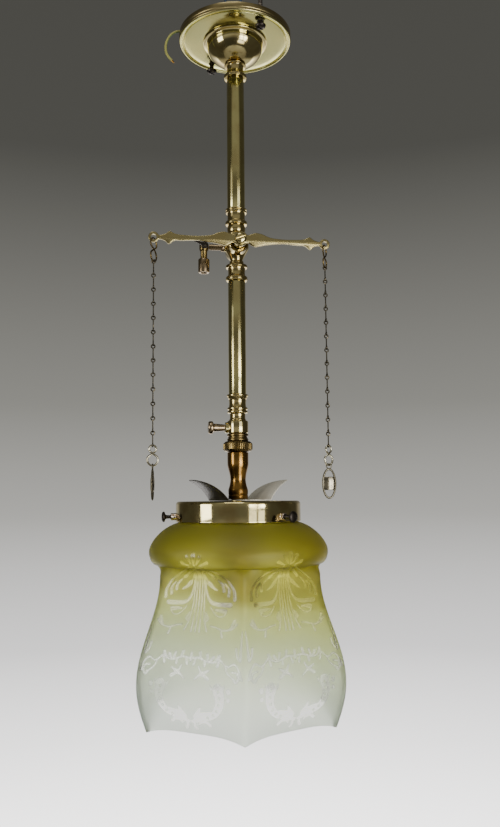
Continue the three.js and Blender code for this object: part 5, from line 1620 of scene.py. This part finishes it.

# %% [markdown]
# Ground glass scatters light, so it is a rough, partly see-through body whose colour runs from
# olive at the shoulder, where brass shines behind it, to white at the rim. Its right side has
# painted light: it is painted more olive, and amber on the shoulder, for light coming through
# from that side. In the ornament the surface is smooth and the glass is clear.

# %% Ground glass with a clear ornament
def ground_glass():
    finish = Finish("glass_ground", ior=1.45, transmission_weight=0.85)
    distance = finish.node("ShaderNodeAttribute", {"attribute_name": "ornament"}, {}, "Fac")
    clear = finish.between(distance, -0.2, 0.25, 1.0, 0.0)
    along = finish.node("ShaderNodeSeparateXYZ", {}, {"Vector": finish.place}, "X")
    height = finish.node("ShaderNodeSeparateXYZ", {}, {"Vector": finish.place}, "Z")
    cloud = finish.noise(24, 3)
    # Shifting the level with x paints the right side more olive than the left: painted light
    # coming through from the right.
    level = height + along * 0.16 + (cloud - 0.5) * 0.014 + 0.002
    tone = finish.node("ShaderNodeValToRGB", {"stops": [
        (0.0, colour(0.81, 0.91, 0.79)), (0.35, colour(0.83, 0.94, 0.57)),
        (0.6, colour(0.85, 0.94, 0.34)), (0.72, colour(0.83, 0.87, 0.26)),
        (0.78, colour(0.58, 0.565, 0.09)), (1.0, colour(0.455, 0.425, 0.05)),
    ]}, {"Fac": finish.between(level, -0.50, -0.37)}, "Color")
    # Painted light: amber on the right of the shoulder, for light coming through there.
    painted_light_amber = finish.between(along, 0.012, 0.07, 0.0, 0.4) * finish.between(height, -0.42, -0.385)
    tone = finish.blend(painted_light_amber, tone, colour(0.55, 0.40, 0.01))
    grain = finish.noise(0.6, 2)
    finish.set(
        base_color=tone, roughness=grain * 0.06 + 0.5, normal=finish.bump(grain, 0.03, 0.3),
    )
    pale = finish.blend(
        finish.between(level, -0.445, -0.39), colour(1, 1, 0.95), colour(0.95, 0.92, 0.30),
    )
    polished_glass = finish.node("ShaderNodeBsdfPrincipled", {}, {
        "Base Color": finish.blend(0.85, tone, pale), "Roughness": 0.14,
        "IOR": 1.45, "Transmission Weight": 0.88,
    })
    ground = Signal(finish, finish.shader.outputs["BSDF"])
    both = finish.node("ShaderNodeMixShader", {}, {0: clear, 1: ground, 2: polished_glass})
    finish.feed(finish.nodes["Material Output"].inputs["Surface"], both)
    return finish


GROUND_GLASS = ground_glass()
dress(glass, "glass_shade", "frame", GROUND_GLASS)

# %% [markdown]
# ## Floor, light and finish
#
# A pale floor lies well below the lamp. Polished metal shows nothing but what stands around it,
# so the world is a room: a grey wall behind, dark at the top and bright at the foot, a dimmer
# room in front, and dark sides. A window with a dim blind above it stands to the left, and one
# with two columns of panes and a bar between them to the right. Two weak lights above and below
# stand for the ceiling and the floor.

# %% Floor and backdrop
FLOOR_RADIUS = 0.8
FLOOR_HEIGHT = -1.2
select_nothing()
bpy.ops.mesh.primitive_circle_add(
    vertices=128, radius=FLOOR_RADIUS, fill_type="NGON", location=(0, 0, FLOOR_HEIGHT),
)
floor = bpy.context.object
floor.name = "floor"
settle(floor)
floor_finish = Finish("floor_pale")
speck = floor_finish.noise(40, 4)
floor_tone = floor_finish.blend(speck, colour(0.72, 0.72, 0.70), colour(0.76, 0.76, 0.74))
floor_finish.set(base_color=floor_tone, roughness=0.7)
floor.data.materials.append(floor_finish.material)


class Sky(Finish):
    """The same way of writing, for the world round the lamp."""

    def __init__(self, name):
        self.world = bpy.data.worlds.new(name)
        self.world.use_nodes = True
        self.nodes = self.world.node_tree.nodes
        self.links = self.world.node_tree.links
        self.shader = self.nodes["Background"]
        self.place = self.node("ShaderNodeTexCoord", output="Generated")


def greys(*stops):
    """Stops of a ramp in grey, a little warmer where it is dark."""
    return [
        (position, (grey, grey * 0.985, grey * min(0.86 + 0.13 * grey, 0.98), 1))
        for position, grey in stops
    ]


studio = Sky("studio")
split = {"Vector": studio.place}
x = studio.node("ShaderNodeSeparateXYZ", {}, split, "X")
y = studio.node("ShaderNodeSeparateXYZ", {}, split, "Y")
z = studio.node("ShaderNodeSeparateXYZ", {}, split, "Z")
angle = studio.maths("ARCTAN2", x, y * -1)
from_front = studio.maths("ABSOLUTE", angle - math.radians(CAMERA_TURN), 0)
side = from_front * (1 / math.pi)
wall = studio.node("ShaderNodeValToRGB", {"stops": greys(
    (0.0, 0.5), (0.26, 0.6), (0.30, 3.6), (0.36, 2.1), (0.41, 1.15), (0.49, 0.5), (0.56, 0.28),
    (0.71, 0.083), (1.0, 0.06),
)}, {"Fac": z * 0.5 + 0.5}, "Color")
front = studio.node("ShaderNodeValToRGB", {"stops": greys(
    (0.0, 0.05), (0.32, 0.06), (0.42, 0.26), (0.5, 0.40), (0.56, 0.13), (0.63, 0.14),
    (0.68, 0.31), (0.8, 0.30),
)}, {"Fac": z * 0.5 + 0.5}, "Color")
far_side = studio.between(side, 0.2, 0.36)
room = studio.blend(far_side, front, colour(0.07, 0.068, 0.056))
behind = studio.between(side, 0.72, 0.82)
around = studio.blend(behind, room, wall)
studio.links.new(around.socket, studio.shader.inputs["Color"])
bpy.context.scene.world = studio.world
print("floor at", FLOOR_HEIGHT, "m in the world", studio.world.name)

# %% Windows
AIM = Vector((0, 0, -0.27))


def window(name, angle, distance, height, width, tall, watts):
    """A soft box at an angle from the front (+ to the right), facing the lamp."""
    turn = math.radians(angle + CAMERA_TURN)
    place = Vector((distance * math.sin(turn), -distance * math.cos(turn), height))
    bpy.ops.object.light_add(type="AREA", location=place)
    box = bpy.context.object
    box.name = name
    box.data.shape = "RECTANGLE"
    box.data.size = width
    box.data.size_y = tall
    box.data.energy = watts
    box.rotation_euler = (AIM - place).to_track_quat("-Z", "Y").to_euler()
    print(name, "at", tuple(round(c, 2) for c in place), "with", round(watts, 2), "W")


select_nothing()
window("window_left", -59, 1.5, -0.25, 0.56, 0.55, 6.4)
window("blind_left", -59, 1.5, 0.27, 0.56, 0.38, 0.6)
for row, watts in ((-1, 4), (0, 5), (1, 1)):
    height = -0.3 + 0.34 * row
    window(f"window_right_inner_{row + 2}", 27, 1.6, height, 0.38, 0.28, 0.75 * watts)
    window(f"window_right_outer_{row + 2}", 43, 1.6, height, 0.34, 0.28, 0.65 * watts)
window("soft_above", -12, 1.2, 2.2, 1.2, 0.8, 10)
window("soft_below", 30, 1.3, -1.0, 0.7, 0.4, 3)
